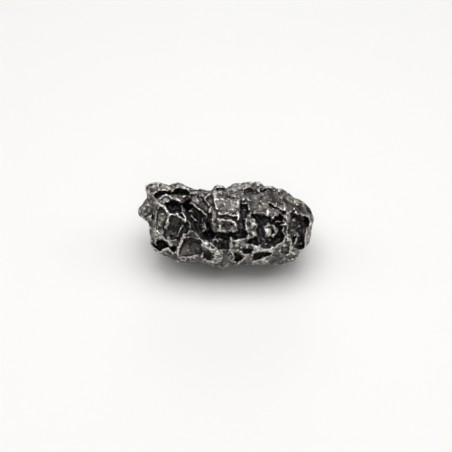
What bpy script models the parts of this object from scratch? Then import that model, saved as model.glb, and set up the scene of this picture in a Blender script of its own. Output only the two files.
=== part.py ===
"""Iron meteorite, a small one with the open, hollowed skin of a weathered stony iron.

One natural solid that lies on a small flat spot. Metres, +Z up, +X along the stone.
The origin is in the middle of the stone's box, on the surface it lies on.
"""

import math
import random

import bmesh
import bpy
import numpy as np
from mathutils import Matrix, Vector, noise

MM = 0.001

# Driving dimensions, in millimetres
LENGTH = 39.8
DEPTH = 21.0
HEIGHT = 18.2

# The best known side is described as it looks from one eye point, so that a place on
# it is two numbers: millimetres across and millimetres up from the middle of the stone.
EYE_ELEVATION = math.radians(44.3)
EYE_DISTANCE = 328.0
MIDDLE = np.array([0.0, 0.0, 0.5 * HEIGHT])
ACROSS = np.array([1.0, 0.0, 0.0])
UP = np.array([0.0, math.sin(EYE_ELEVATION), math.cos(EYE_ELEVATION)])
OUT = np.array([0.0, -math.cos(EYE_ELEVATION), math.sin(EYE_ELEVATION)])

# Mesh
VOXEL = 0.2
TRIANGLES = 9300
SEED = 11

# Sockets of the hidden sides: least distance between two, and the depths they may have
SOCKET_TRIES = 2500
SOCKET_GAP = (2.1, 4.4)
SOCKET_DEPTHS = (-0.5, 0.4, 0.9, 1.2, 1.5, 1.9)

# Broad dents and humps of the sides that the eye point doesn't see: place, reach and depth
DENTS = [
    ((12.5, 9.0, 12.0), 8.0, 1.7),
    ((-11.0, 9.5, 5.5), 7.0, 1.5),
    ((1.5, 10.5, 8.0), 6.0, -1.0),
    ((-4.0, 8.0, 15.5), 6.0, 1.2),
    ((19.0, 3.0, 5.0), 6.0, 1.3),
    ((-17.5, 3.0, 8.0), 5.0, 0.9),
    ((10.0, 2.0, 0.0), 6.0, 0.9),
    ((-11.5, 1.0, 0.5), 6.0, 0.8),
]

# Swells of the whole skin, half the height between the tops and the bottoms
BROAD_SWELL = 0.6
FINE_SWELL = 0.25

# How far the crests of the seen side stand up and its hollows go down, against the
# heights that are given for each of them below
CREST_SHARE = 0.75
HOLLOW_SHARE = 0.85

# Rest spot
FOOT_PLACE = (0.6, 0.0)
FOOT_REACH = 6.5
FOOT_LEVEL = -0.5
FOOT_CUT = 0.3

# The masses that make up the body: centre and half-sizes along X, Y and Z
MASSES = [
    ((-17.0, 0.3, 9.8), (3.2, 5.4, 5.4)),
    ((-13.2, 0.4, 9.3), (5.4, 8.6, 8.4)),
    ((-8.5, 0.2, 9.1), (6.5, 9.6, 8.9)),
    ((-3.0, 0.0, 9.0), (7.0, 10.3, 9.1)),
    ((3.0, 0.0, 9.0), (7.0, 10.5, 9.2)),
    ((8.5, 0.0, 9.0), (7.0, 10.4, 9.1)),
    ((13.0, 0.0, 8.8), (6.8, 9.3, 8.3)),
]

# The outline of the stone from the eye point, anticlockwise from the right end
OUTLINE = [
    (19.8, 1.8), (19.5, 3.0), (18.9, 4.2), (18.0, 5.2), (17.0, 5.9), (15.5, 6.5), (14.5, 7.3),
    (13.2, 8.3), (12.2, 8.6), (11.2, 8.5), (10.9, 8.9), (10.2, 9.15), (9.0, 9.0), (8.4, 9.1),
    (8.0, 9.7), (7.3, 10.0), (6.0, 10.0), (3.5, 9.8), (1.8, 9.3), (0.5, 8.9), (-0.8, 9.2),
    (-1.8, 9.45), (-2.4, 9.2), (-2.9, 8.5), (-3.3, 8.1), (-4.0, 8.0), (-4.8, 8.2), (-6.0, 8.55),
    (-7.3, 8.2), (-8.0, 7.9), (-8.4, 8.3), (-8.8, 8.9), (-9.2, 9.5), (-10.2, 9.9), (-11.3, 9.9),
    (-12.0, 9.5), (-13.0, 9.5), (-14.5, 10.0), (-16.3, 10.0), (-17.2, 9.6), (-18.0, 9.3),
    (-18.4, 8.5), (-18.0, 7.9), (-17.9, 7.0), (-18.2, 5.9), (-19.0, 4.8), (-19.9, 3.7),
    (-20.0, 3.0), (-19.0, 1.6), (-18.3, 1.3), (-17.5, 0.6), (-16.7, 0.0), (-17.2, -1.3),
    (-16.9, -2.9), (-17.2, -3.8), (-16.8, -4.8), (-16.0, -5.7), (-15.0, -6.3), (-13.5, -6.9),
    (-12.0, -7.6), (-11.0, -8.2), (-8.0, -8.3), (-4.5, -8.3), (-3.5, -8.9), (-1.5, -9.3),
    (-0.6, -9.7), (0.0, -9.5), (1.5, -8.9), (3.5, -8.3), (5.5, -8.8), (7.0, -8.6), (9.5, -8.7),
    (10.8, -8.9), (13.5, -8.6), (14.5, -8.3), (15.5, -7.8), (16.2, -7.3), (16.3, -6.5),
    (16.5, -5.9), (17.0, -5.4), (17.8, -5.0), (18.5, -4.2), (19.0, -3.2), (19.1, -2.0),
    (19.2, -0.8), (19.6, 0.3),
]


def clear_scene():
    """Remove the objects that the file was opened with."""
    for thing in list(bpy.data.objects):
        bpy.data.objects.remove(thing)


def read_points(mesh):
    """The mesh's points, in millimetres, one row each."""
    flat = np.empty(len(mesh.vertices) * 3)
    mesh.vertices.foreach_get("co", flat)
    return flat.reshape(-1, 3) / MM


def write_points(mesh, points):
    """Move the mesh's points to places given in millimetres."""
    mesh.vertices.foreach_set("co", (points * MM).ravel())
    mesh.update()


def read_normals(mesh):
    """The direction that the surface faces at each point."""
    flat = np.empty(len(mesh.vertices) * 3, dtype=np.float32)
    mesh.vertex_normals.foreach_get("vector", flat)
    return flat.reshape(-1, 3).astype(float)


def settle(stone):
    """Apply the stone's modifiers to its mesh."""
    depsgraph = bpy.context.evaluated_depsgraph_get()
    depsgraph.update()
    settled = bpy.data.meshes.new_from_object(stone.evaluated_get(depsgraph))
    worn_out = stone.data
    stone.modifiers.clear()
    stone.data = settled
    settled.name = stone.name
    bpy.data.meshes.remove(worn_out)


def remesh(stone, voxel):
    """Melt everything in the stone's mesh into one skin of even faces."""
    melt = stone.modifiers.new("melt", "REMESH")
    melt.mode = "VOXEL"
    melt.voxel_size = voxel * MM
    settle(stone)


def relax(stone, factor, repeats):
    """Round the skin off a little."""
    smooth = stone.modifiers.new("relax", "SMOOTH")
    smooth.factor = factor
    smooth.iterations = repeats
    settle(stone)


def to_view(points):
    """Places as seen from the eye point: across, up, and how far out towards the eye."""
    away = points - MIDDLE
    out = away @ OUT
    spread = EYE_DISTANCE / (EYE_DISTANCE - out)
    return away @ ACROSS * spread, away @ UP * spread, out


def from_view(across, up, out):
    """The points seen at the given places."""
    shrink = (EYE_DISTANCE - out) / EYE_DISTANCE
    return (
        MIDDLE
        + np.outer(across * shrink, ACROSS)
        + np.outer(up * shrink, UP)
        + np.outer(out, OUT)
    )


def fade(value, start, end):
    """1 up to start, 0 from end on, and a smooth fall between them."""
    t = np.clip((value - start) / (end - start), 0.0, 1.0)
    return 1.0 - t * t * (3.0 - 2.0 * t)


def field_noise(points, scale, octaves, offset):
    """Smooth noise from about -1 to 1, with patches of about the given size in millimetres."""
    shift = Vector((offset, 1.7 * offset, -0.6 * offset))
    values = [noise.fractal(Vector(p) / scale + shift, 0.8, 2.0, octaves) for p in points]
    return np.array(values)


class Relief:
    """The heights of the side seen from the eye point, shaped one feature at a time."""

    def __init__(self, across, up, out):
        self.across = across
        self.up = up
        self.base = out.copy()
        self.out = out.copy()

    def oval(self, place, half, turn):
        """0 in the middle of an oval and 1 on its edge."""
        c = math.cos(math.radians(turn))
        s = math.sin(math.radians(turn))
        x = self.across - place[0]
        y = self.up - place[1]
        return np.hypot((x * c + y * s) / half[0], (y * c - x * s) / half[1])

    def line(self, route):
        """Distance to a line of straight runs, and how far along it the nearest place is, 0 to 1."""
        near = np.full(self.across.shape, 1e9)
        along = np.zeros(self.across.shape)
        lengths = [math.dist(a, b) for a, b in zip(route, route[1:])]
        done = 0.0
        for (ax, ay), (bx, by), length in zip(route, route[1:], lengths):
            ux, uy = (bx - ax) / length, (by - ay) / length
            t = np.clip((self.across - ax) * ux + (self.up - ay) * uy, 0.0, length)
            gap = np.hypot(self.across - ax - t * ux, self.up - ay - t * uy)
            nearer = gap < near
            near[nearer] = gap[nearer]
            along[nearer] = (done + t[nearer]) / sum(lengths)
            done += length
        return near, along

    def pit(self, place, half, depth, turn=0.0, floor=0.35):
        """An oval hollow; floor is the share of its radius that is flat."""
        self.out -= HOLLOW_SHARE * depth * fade(self.oval(place, half, turn), floor, 1.0)

    def knob(self, place, half, high, turn=0.0, top=0.0):
        """An oval lump."""
        self.out += CREST_SHARE * high * fade(self.oval(place, half, turn), top, 1.0)

    def trough(self, route, wide, depth, floor=0.3):
        """A hollow along a line; wide is its half-width."""
        near, along = self.line(route)
        self.out -= HOLLOW_SHARE * depth * fade(near / wide, floor, 1.0)

    def ridge(self, route, wide, high):
        """A crest along a line, lower at its ends; wide is its half-width."""
        near, along = self.line(route)
        ends = np.clip(np.minimum(along, 1.0 - along) * 6.0 + 0.4, 0.0, 1.0)
        self.out += CREST_SHARE * high * ends * np.clip(1.0 - near / wide, 0.0, 1.0) ** 1.3

    def face(self, corners, high, slope_across=0.0, slope_up=0.0, edge=0.4):
        """A flat face: the patch inside the corners is brought to one plane."""
        near, _ = self.line(corners + corners[:1])
        inside = np.zeros(self.across.shape, dtype=bool)
        for (ax, ay), (bx, by) in zip(corners, corners[1:] + corners[:1]):
            crosses = (ay > self.up) != (by > self.up)
            if ay != by:
                meet = ax + (self.up - ay) * (bx - ax) / (by - ay)
                inside ^= crosses & (self.across < meet)
        if not inside.any():
            return
        reach = np.where(inside, near, -near)
        middle_across = self.across[inside].mean()
        middle_up = self.up[inside].mean()
        plane = (
            self.base[inside].mean()
            + high
            + slope_across * (self.across - middle_across)
            + slope_up * (self.up - middle_up)
        )
        share = fade(-reach, -edge, edge)
        self.out += share * (plane - self.out)


def make_body(collection):
    """Melt the masses into one body."""
    shape = bmesh.new()
    for centre, half in MASSES:
        place = Matrix.Translation(Vector(centre) * MM) @ Matrix.Diagonal((*half, 1.0 / MM)) * MM
        bmesh.ops.create_icosphere(shape, subdivisions=4, radius=1.0, matrix=place)
    mesh = bpy.data.meshes.new("meteorite")
    shape.to_mesh(mesh)
    shape.free()
    stone = bpy.data.objects.new("meteorite", mesh)
    collection.objects.link(stone)
    remesh(stone, VOXEL)
    relax(stone, 0.5, 60)
    return stone


def stretch_to_outline(points, window, inward):
    """Stretch the body, seen from the eye point, towards the stone's outline.

    window is how far the stretch is evened out round the outline, in steps, and inward
    is how fast it dies away from the outline to the middle. A stretch that dies away
    fast is kept off the front and the back too.
    """
    across, up, out = to_view(points)
    angle = np.arctan2(up, across)
    reach = np.hypot(across, up)
    steps = 240
    turn = 2.0 * math.pi
    slot = ((angle + math.pi) / turn * steps).astype(int) % steps
    edge = np.zeros(steps)
    np.maximum.at(edge, slot, reach)
    slot_angle = (np.arange(steps) + 0.5) / steps * turn - math.pi
    corner_angle, corner_reach = np.array(sorted((math.atan2(y, x), math.hypot(x, y)) for x, y in OUTLINE)).T
    ratio = np.interp(slot_angle, corner_angle, corner_reach, period=turn) / edge
    wrapped = np.concatenate([ratio[-window:], ratio, ratio[:window]])
    even = np.convolve(wrapped, np.ones(2 * window + 1) / (2 * window + 1), mode="valid")
    nearness = np.clip(reach / np.interp(angle, slot_angle, edge, period=turn), 0.0, 1.0) ** inward
    if inward > 1.0:
        nearness *= fade(np.abs(out), 2.0, 5.5)
    factor = 1.0 + (np.interp(angle, slot_angle, even, period=turn) - 1.0) * nearness
    return from_view(across * factor, up * factor, out)


def shape_left_end(side):
    """Crests and hollows of the narrow end, from its top down."""
    # Two humps with a cave under the right one
    side.knob((-17.0, 8.4), (1.5, 1.5), 0.7)
    side.knob((-18.1, 8.8), (0.6, 0.6), 0.6)
    side.ridge([(-15.2, 9.4), (-15.2, 8.1)], 0.4, 0.8)
    side.pit((-15.3, 7.0), (0.9, 0.8), 1.5, 30)
    side.ridge([(-14.5, 8.9), (-13.5, 8.9), (-12.5, 9.3)], 0.5, 0.8)
    side.pit((-14.0, 7.9), (1.1, 0.5), 1.1)
    side.knob((-10.7, 9.4), (2.3, 1.0), 1.2)
    side.pit((-10.2, 7.6), (2.0, 0.9), 3.0)
    side.ridge([(-12.7, 9.2), (-11.3, 9.8), (-10.0, 9.8), (-9.0, 9.2), (-8.6, 8.4)], 0.5, 0.9)
    side.ridge([(-11.9, 8.0), (-11.3, 8.8), (-10.2, 9.0), (-9.5, 8.7)], 0.4, 1.1)
    # Shelf with a turned-up lip
    side.knob((-10.3, 6.3), (2.3, 0.9), 1.4, -8, 0.5)
    side.pit((-10.3, 6.7), (1.8, 0.6), 1.3, -8)
    side.ridge(
        [(-12.5, 6.6), (-11.3, 6.1), (-10.0, 5.7), (-9.3, 5.5), (-8.3, 5.9), (-8.0, 6.8)], 0.5, 1.5
    )
    # Three-cornered face and its peak
    side.face([(-14.9, 6.2), (-13.4, 7.1), (-12.3, 6.5), (-12.5, 5.2), (-14.6, 5.0)], 0.4, 0.1, -0.2)
    side.ridge([(-14.8, 6.3), (-13.5, 7.0), (-12.8, 6.7)], 0.35, 0.7)
    # Tip and the band that runs up from it
    side.knob((-19.0, 2.8), (1.2, 1.2), 0.8)
    side.knob((-17.0, 4.6), (2.2, 1.2), 0.9, 40)
    side.pit((-16.7, 4.8), (0.6, 0.25), 0.7, 20)
    # Deep hollow under the shelf
    side.pit((-11.8, 4.2), (2.1, 1.15), 3.4, 0, 0.55)
    side.ridge([(-15.6, 5.8), (-15.0, 4.8), (-14.3, 4.5), (-13.7, 4.0), (-13.0, 3.0)], 0.45, 1.1)
    # Oval bowl with its rim
    side.pit((-14.6, 2.2), (1.4, 2.2), 1.2, 0, 0.5)
    side.ridge([(-14.3, 4.5), (-15.1, 3.9), (-15.7, 3.0), (-15.95, 2.0), (-15.95, 0.8)], 0.4, 0.9)
    side.ridge([(-13.0, 3.0), (-13.0, 2.0), (-13.1, 1.0), (-13.2, 0.0), (-13.9, -1.0)], 0.35, 0.8)
    side.pit((-16.5, 2.0), (0.5, 0.7), 0.9)
    side.ridge([(-16.6, 2.9), (-17.1, 2.3), (-17.2, 1.6), (-16.6, 1.0)], 0.35, 0.7)
    # Long dark face below the arch
    side.face([(-12.8, 2.0), (-9.7, 1.6), (-10.2, -0.6), (-11.2, -2.6), (-13.1, -3.0), (-13.0, 0.0)], -2.2, -0.1, 0.25)
    side.ridge([(-13.1, 2.9), (-11.5, 2.8), (-10.9, 2.4), (-10.4, 1.9), (-9.8, 1.6), (-9.2, 1.4)], 0.55, 1.6)
    side.ridge([(-9.8, 4.3), (-9.5, 3.6), (-9.3, 2.5), (-9.1, 1.3)], 0.4, 1.6)
    side.ridge([(-9.7, 0.2), (-10.3, -0.6), (-10.7, -1.5), (-11.0, -2.4)], 0.35, 1.0)
    side.pit((-9.0, -0.8), (0.7, 1.7), 1.3)
    side.pit((-13.9, -1.6), (1.3, 1.0), 0.9)
    # Left edge and lower corner
    side.pit((-16.6, -1.8), (0.5, 1.1), 1.0)
    side.ridge([(-16.4, -0.4), (-15.9, -1.3), (-15.7, -2.2)], 0.35, 0.8)
    side.pit((-14.6, -4.3), (1.5, 1.3), 2.0, 0, 0.5)
    side.pit((-12.2, -5.1), (1.0, 0.7), 1.4)
    side.ridge([(-12.8, -2.7), (-12.9, -3.3), (-12.5, -4.0), (-11.9, -4.3), (-11.3, -3.9)], 0.4, 1.1)
    side.knob((-15.5, -2.7), (0.5, 0.4), 0.8)
    side.knob((-13.7, -3.2), (0.5, 0.35), 0.7)
    side.ridge([(-17.1, -4.0), (-16.5, -4.9), (-15.5, -5.6), (-14.9, -5.9)], 0.4, 1.0)
    side.ridge([(-14.9, -5.9), (-14.0, -5.5), (-13.0, -5.2), (-12.3, -5.7), (-11.7, -6.2), (-11.3, -6.6)], 0.45, 1.2)


def shape_middle(side):
    """The valley, the block that stands in it, and the broken ground under it."""
    # Valley from the shelf down to the block's foot
    side.trough([(-9.0, 4.2), (-7.2, 3.4), (-6.5, 1.6), (-5.2, -0.2), (-4.0, -1.6)], 2.3, 4.0, 0.4)
    side.trough([(-4.2, -1.8), (-2.0, -2.1), (1.0, -2.2), (4.0, -1.7)], 1.1, 3.2)
    side.ridge([(-7.7, 2.3), (-7.0, 1.4)], 0.3, 0.6)
    side.knob((-4.3, 1.9), (0.5, 1.4), 1.2, -15)
    # Grey slab left of the block
    side.face([(-8.0, 7.5), (-5.5, 7.4), (-3.2, 7.5), (-3.6, 5.0), (-4.2, 3.2), (-5.0, 3.2), (-7.8, 4.9)], 0.3, -0.15, -0.35)
    side.ridge([(-8.0, 7.5), (-7.0, 7.5), (-5.5, 7.1)], 0.35, 0.6)
    side.ridge([(-8.0, 5.0), (-7.0, 4.6), (-6.0, 3.5), (-5.0, 3.0)], 0.35, 0.6)
    side.ridge([(-5.0, 6.0), (-3.3, 7.5)], 0.25, 0.4)
    side.pit((-3.2, 4.6), (0.6, 2.4), 2.2)
    # Crest behind the block
    side.ridge([(-3.0, 8.0), (-2.4, 9.1), (-1.8, 9.3), (-0.5, 8.9), (0.3, 8.4)], 0.6, 1.0)
    side.pit((-0.9, 8.35), (1.0, 0.25), 0.8)
    side.ridge([(0.0, 8.3), (0.8, 7.3), (1.8, 6.8), (3.5, 6.3), (4.5, 5.8)], 0.35, 0.8)
    # Block, its ledge, the notch under the ledge and the lower knob
    side.face(
        [(-2.6, 7.8), (0.0, 7.4), (3.0, 6.0), (3.05, 2.9), (-1.9, 2.9), (-2.1, 4.3), (-2.6, 5.5)],
        1.5, 0.0, -0.45, 0.35,
    )
    side.pit((0.7, 6.9), (2.0, 0.5), 0.7, -12)
    side.ridge([(-2.5, 7.5), (-2.55, 5.6), (-2.1, 4.4)], 0.35, 0.5)
    side.face([(-1.9, 3.3), (3.05, 3.3), (3.1, 1.4), (2.3, 1.5), (2.2, 2.2), (-1.8, 2.1)], 1.3, 0.0, -0.8, 0.3)
    side.pit((0.9, 1.85), (1.3, 0.3), 1.4)
    side.face([(-1.9, 1.2), (1.4, 1.5), (2.5, 0.3), (2.4, -0.6), (1.9, -1.2), (-1.9, -1.2)], 1.5, 0.0, 0.35, 0.35)
    side.ridge([(-1.8, 1.1), (0.0, 1.3), (1.5, 1.4), (2.4, 0.4)], 0.4, 0.6)
    side.ridge([(-3.0, 1.0), (-3.0, 0.0), (-2.5, -1.0)], 0.3, 0.9)
    side.pit((3.9, 2.2), (0.8, 2.9), 2.6)
    side.knob((4.0, 3.7), (0.4, 0.4), 0.8)
    # Star peak and the long slanting crest
    side.ridge([(-8.0, 0.7), (-8.0, -1.1)], 0.4, 1.9)
    side.ridge([(-8.0, -1.0), (-8.9, -1.9)], 0.4, 1.2)
    side.ridge([(-8.0, -1.0), (-7.0, -2.0), (-5.8, -2.7)], 0.45, 1.5)
    side.ridge(
        [(-9.4, -2.0), (-10.0, -3.2), (-10.5, -4.5), (-11.0, -5.5), (-11.3, -6.5), (-11.2, -7.7)],
        0.5, 1.3,
    )
    # Bowls along the foot
    side.pit((-7.8, -4.9), (2.9, 2.2), 2.2, 0, 0.5)
    side.ridge([(-11.0, -7.3), (-9.0, -7.0), (-7.5, -7.2), (-6.5, -6.7)], 0.45, 0.9)
    side.pit((-4.3, -6.3), (1.4, 1.4), 2.2)
    side.pit((-0.6, -3.8), (1.7, 1.5), 2.8)
    # Chain of knobs between the bowls
    side.ridge([(-5.4, -3.9), (-4.2, -4.7), (-3.3, -5.3), (-2.5, -5.7)], 0.8, 1.8)
    side.knob((-2.0, -6.0), (1.2, 1.0), 1.4)
    side.ridge([(-2.0, -6.0), (-1.0, -6.5), (-1.7, -7.5), (-3.0, -8.2), (-4.3, -8.0)], 0.6, 1.1)
    side.ridge([(-3.4, -3.7), (-2.6, -5.0)], 0.3, 0.8)
    side.knob((0.6, -8.6), (1.5, 0.8), 0.8)
    side.pit((2.8, -7.0), (1.2, 1.2), 3.2, 0, 0.5)
    side.pit((1.0, -6.3), (0.5, 0.4), 0.9)


def shape_right_end(side):
    """The smooth shoulder, the knobs among deep holes, and the hollow end."""
    # Shoulder
    side.knob((6.8, 9.0), (1.9, 1.2), 0.7)
    side.pit((5.3, 8.0), (1.6, 0.8), 0.8, 10)
    side.ridge([(3.6, 7.8), (4.2, 8.6), (5.3, 8.9), (6.8, 8.7)], 0.3, 0.4)
    side.knob((5.6, 6.2), (1.6, 0.9), 0.5)
    side.pit((9.2, 8.1), (1.3, 0.3), 0.9)
    side.ridge([(12.2, 8.3), (12.9, 7.0), (12.5, 6.0), (13.0, 5.2), (13.3, 4.3)], 0.4, 0.6)
    side.knob((11.3, 5.0), (0.7, 0.5), 0.7)
    # Broken ground in the middle of the side
    side.pit((8.6, -0.4), (5.6, 4.4), 1.2, 0, 0.6)
    side.trough([(10.0, 4.4), (11.8, 3.6), (13.4, 2.8)], 0.45, 1.4)
    side.pit((7.1, 1.7), (1.0, 1.0), 3.0, 0, 0.5)
    side.pit((9.3, 1.5), (1.2, 0.6), 2.4, 0, 0.5)
    side.pit((11.1, 0.0), (1.1, 0.7), 2.4, 0, 0.5)
    side.pit((7.9, -1.2), (0.9, 2.3), 2.6, 0, 0.5)
    side.pit((8.2, -3.5), (3.5, 0.95), 3.2, 0, 0.6)
    side.pit((12.1, -1.8), (0.9, 1.6), 2.4, 0, 0.5)
    # Knobs that stand up between the holes
    side.ridge([(6.5, 3.0), (8.3, 2.8), (9.6, 3.6), (11.3, 2.8), (12.2, 2.9)], 0.8, 1.6)
    side.ridge([(8.4, 2.7), (7.9, 1.4)], 0.35, 1.3)
    side.ridge([(11.2, 2.8), (10.5, 1.4)], 0.45, 1.4)
    side.knob((13.1, 1.3), (1.3, 1.6), 1.8, 0, 0.3)
    side.ridge([(11.0, 1.2), (13.0, 1.2)], 0.5, 1.2)
    side.knob((9.8, -1.1), (1.5, 1.7), 2.6, 0, 0.35)
    side.ridge([(9.0, 0.2), (9.7, 0.5), (10.4, 0.1)], 0.4, 0.8)
    side.ridge([(5.2, 2.9), (5.3, 1.8)], 0.5, 0.9)
    side.knob((6.1, 0.3), (1.0, 1.3), 1.6)
    side.ridge([(6.1, -0.6), (6.0, -1.6), (5.4, -2.3), (4.5, -2.9), (3.6, -3.4)], 0.8, 1.5)
    side.face([(0.9, -2.7), (3.8, -3.1), (4.2, -4.6), (3.0, -5.6), (1.0, -5.5)], 0.5, -0.1, 0.0, 0.35)
    side.ridge([(1.0, -2.7), (1.0, -4.5)], 0.35, 0.7)
    side.ridge([(0.9, -5.5), (2.5, -5.7)], 0.35, 0.5)
    # Hollow end with its rim
    side.pit((16.2, -0.9), (2.4, 3.9), 3.6, 5, 0.55)
    side.knob((15.2, 1.3), (0.9, 1.0), 1.2)
    side.ridge([(15.9, -1.6), (16.1, -2.2), (15.6, -3.2), (15.3, -3.9)], 0.35, 1.3)
    side.ridge([(12.9, -0.4), (13.2, -1.8)], 0.35, 1.2)
    side.knob((13.7, -3.1), (1.0, 1.3), 2.0, 20, 0.2)
    side.knob((15.2, -5.6), (0.9, 1.0), 1.3)
    side.knob((11.4, -5.0), (1.0, 0.8), 1.2)
    side.pit((16.8, 4.1), (0.7, 0.3), 0.8)
    side.ridge([(16.0, 3.0), (17.0, 2.5), (18.2, 2.3)], 0.4, 0.8)
    side.ridge([(18.9, -0.8), (18.5, -2.5), (18.0, -4.6)], 0.7, 0.8)
    # Foot
    side.ridge([(3.9, -7.8), (4.7, -6.8), (5.5, -6.3), (6.3, -5.8), (7.3, -5.2), (7.6, -4.6)], 0.5, 1.3)
    side.pit((6.7, -7.1), (1.8, 0.8), 1.2, 20)
    side.ridge([(6.5, -8.3), (9.0, -7.2), (11.0, -6.1)], 0.5, 0.7)
    side.knob((13.0, -7.5), (1.0, 0.7), 0.7)
    side.knob((14.8, -7.4), (0.9, 0.7), 0.8)


def shape_seen_side(points):
    """Shape the side that is described from the eye point."""
    share = 1.0 - fade(to_view(points)[2], -1.5, 1.5)
    seen = share > 0.0
    across, up, out = to_view(points[seen])
    waver = field_noise(points[seen], 1.6, 2, 3.0)
    waver_up = field_noise(points[seen], 1.6, 2, 47.0)
    side = Relief(across + 0.16 * waver, up + 0.16 * waver_up, out)
    shape_left_end(side)
    shape_middle(side)
    shape_right_end(side)
    shaped = points.copy()
    shaped[seen] = from_view(across, up, out + share[seen] * (side.out - out))
    return shaped


def roughen(points, normals):
    """Dent the body, and give all of it broad, low swells, so that no side is a plain oval."""
    swell = BROAD_SWELL * field_noise(points, 7.0, 2, 9.0) + FINE_SWELL * field_noise(points, 2.6, 2, 31.0)
    for place, reach, depth in DENTS:
        swell -= depth * fade(np.linalg.norm(points - place, axis=1), 0.25 * reach, reach)
    return points + normals * swell[:, None]


def scatter_sockets(skin):
    """The middle of each socket on the skin, and its depth."""
    chance = random.Random(SEED)
    places = []
    depths = []
    for _ in range(SOCKET_TRIES):
        aim = np.array([chance.gauss(0.0, 1.0) for _ in range(3)])
        gap = chance.uniform(*SOCKET_GAP)
        depth = chance.choice(SOCKET_DEPTHS) * chance.uniform(0.7, 1.2)
        place = MIDDLE + aim / np.linalg.norm(aim / (0.5 * LENGTH, 0.5 * DEPTH, 0.5 * HEIGHT))
        if all(np.linalg.norm(place - other) > gap for other in places):
            places.append(place)
            depths.append(depth)
    near = [np.argmin(np.linalg.norm(skin - place, axis=1)) for place in places]
    return skin[near], np.array(depths)


def shape_sockets(points, normals):
    """Cover the back, the ends and the underside with sockets that thin walls part."""
    places, depths = scatter_sockets(points)
    share = fade(to_view(points)[2], 0.0, 2.8)
    hidden = share > 0.0
    skin = points[hidden]
    waver = np.stack([field_noise(skin, 2.2, 2, offset) for offset in (5.0, 23.0, 61.0)], axis=1)
    gaps = np.linalg.norm((skin + 0.45 * waver)[:, None, :] - places[None, :, :], axis=2)
    order = np.argsort(gaps, axis=1)[:, :2]
    nearest = np.take_along_axis(gaps, order, axis=1)
    from_wall = 0.5 * (nearest[:, 1] - nearest[:, 0])
    sunk = depths[order[:, 0]] * (1.0 - fade(from_wall, 0.12, 1.15))
    underside = fade(normals[hidden][:, 2], -0.9, -0.4)
    sunk *= 1.0 - 0.5 * underside
    shaped = points.copy()
    shaped[hidden] -= normals[hidden] * (share[hidden] * sunk)[:, None]
    return shaped


def shape_foot(points):
    """Fill out the skin round the rest spot, so that the stone lies on it and on nothing else."""
    reach = np.hypot(points[:, 0] - FOOT_PLACE[0], (points[:, 1] - FOOT_PLACE[1]) * 1.25)
    share = fade(reach, 0.55 * FOOT_REACH, FOOT_REACH) * fade(points[:, 2], 1.5, 5.0)
    shaped = points.copy()
    shaped[:, 2] += share * (FOOT_LEVEL - points[:, 2])
    return shaped


def cut_foot(stone):
    """Cut the flat that the stone lies on, and put the origin in the middle of its box."""
    points = read_points(stone.data)
    level = points[:, 2].min() + FOOT_CUT
    near = np.abs(points[:, 2] - level) < 0.12
    points[near, 2] = level
    lowest = points.min(axis=0)
    highest = points.max(axis=0)
    points -= [0.5 * (lowest[0] + highest[0]), 0.5 * (lowest[1] + highest[1]), level]
    write_points(stone.data, points)
    shape = bmesh.new()
    shape.from_mesh(stone.data)
    everything = shape.verts[:] + shape.edges[:] + shape.faces[:]
    cut = bmesh.ops.bisect_plane(
        shape, geom=everything, dist=0.001 * MM, plane_co=(0, 0, 0), plane_no=(0, 0, 1), clear_inner=True
    )
    rim = [item for item in cut["geom_cut"] if isinstance(item, bmesh.types.BMEdge)]
    bmesh.ops.contextual_create(shape, geom=rim)
    bmesh.ops.triangulate(shape, faces=[face for face in shape.faces if len(face.verts) > 3])
    bmesh.ops.recalc_face_normals(shape, faces=shape.faces[:])
    shape.to_mesh(stone.data)
    shape.free()


def thin_out(stone, triangles):
    """Collapse the mesh to about the given number of triangles."""
    thin = stone.modifiers.new("thin", "DECIMATE")
    thin.ratio = triangles / sum(len(face.vertices) - 2 for face in stone.data.polygons)
    settle(stone)


def iron_finish():
    """Weathered nickel iron: dark, metallic and satin."""
    iron = bpy.data.materials.new("weathered_iron")
    iron.use_nodes = True
    shader = iron.node_tree.nodes["Principled BSDF"]
    shader.inputs["Base Color"].default_value = (0.13, 0.125, 0.12, 1.0)
    shader.inputs["Metallic"].default_value = 0.85
    shader.inputs["Roughness"].default_value = 0.42
    iron.diffuse_color = (0.2, 0.19, 0.18, 1.0)
    return iron


def main():
    clear_scene()
    parts = bpy.data.collections.new("iron_meteorite")
    bpy.context.scene.collection.children.link(parts)
    stone = make_body(parts)
    write_points(stone.data, stretch_to_outline(read_points(stone.data), 14, 1.0))
    write_points(stone.data, roughen(read_points(stone.data), read_normals(stone.data)))
    write_points(stone.data, shape_sockets(read_points(stone.data), read_normals(stone.data)))
    points = stretch_to_outline(read_points(stone.data), 1, 9.0)
    points = stretch_to_outline(points, 1, 9.0)
    write_points(stone.data, shape_foot(points))
    remesh(stone, VOXEL)
    write_points(stone.data, shape_seen_side(read_points(stone.data)))
    remesh(stone, VOXEL)
    relax(stone, 0.5, 2)
    thin_out(stone, TRIANGLES)
    cut_foot(stone)
    stone.data.materials.append(iron_finish())


main()
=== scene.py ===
# %% [markdown]
# # An iron meteorite
#
# The object is a small iron meteorite, about 40 mm long. Crystals that once sat in its
# metal have fallen out and left sockets, with thin metal walls between them. The metal has
# rusted dark in the hollows and is worn bright on every crest. In the colour below, the
# hollows are darkened for that rust and also with painted shade.
#
# This lesson shapes the stone from a few masses, gives it its outline, sculpts the side
# that is best known from one eye point, and covers the rest with sockets. Then one
# material reads the shape: bright where the surface stands proud, and nearly black where it
# is sunk, which is black rust and painted shade together.
#
# We start by loading the imported model. It fixes the size and the place of the stone.


# %% Load the frame
import math
import random

import bmesh
import bpy
import numpy as np
from mathutils import Matrix, Vector, noise
from mathutils.bvhtree import BVHTree


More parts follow.
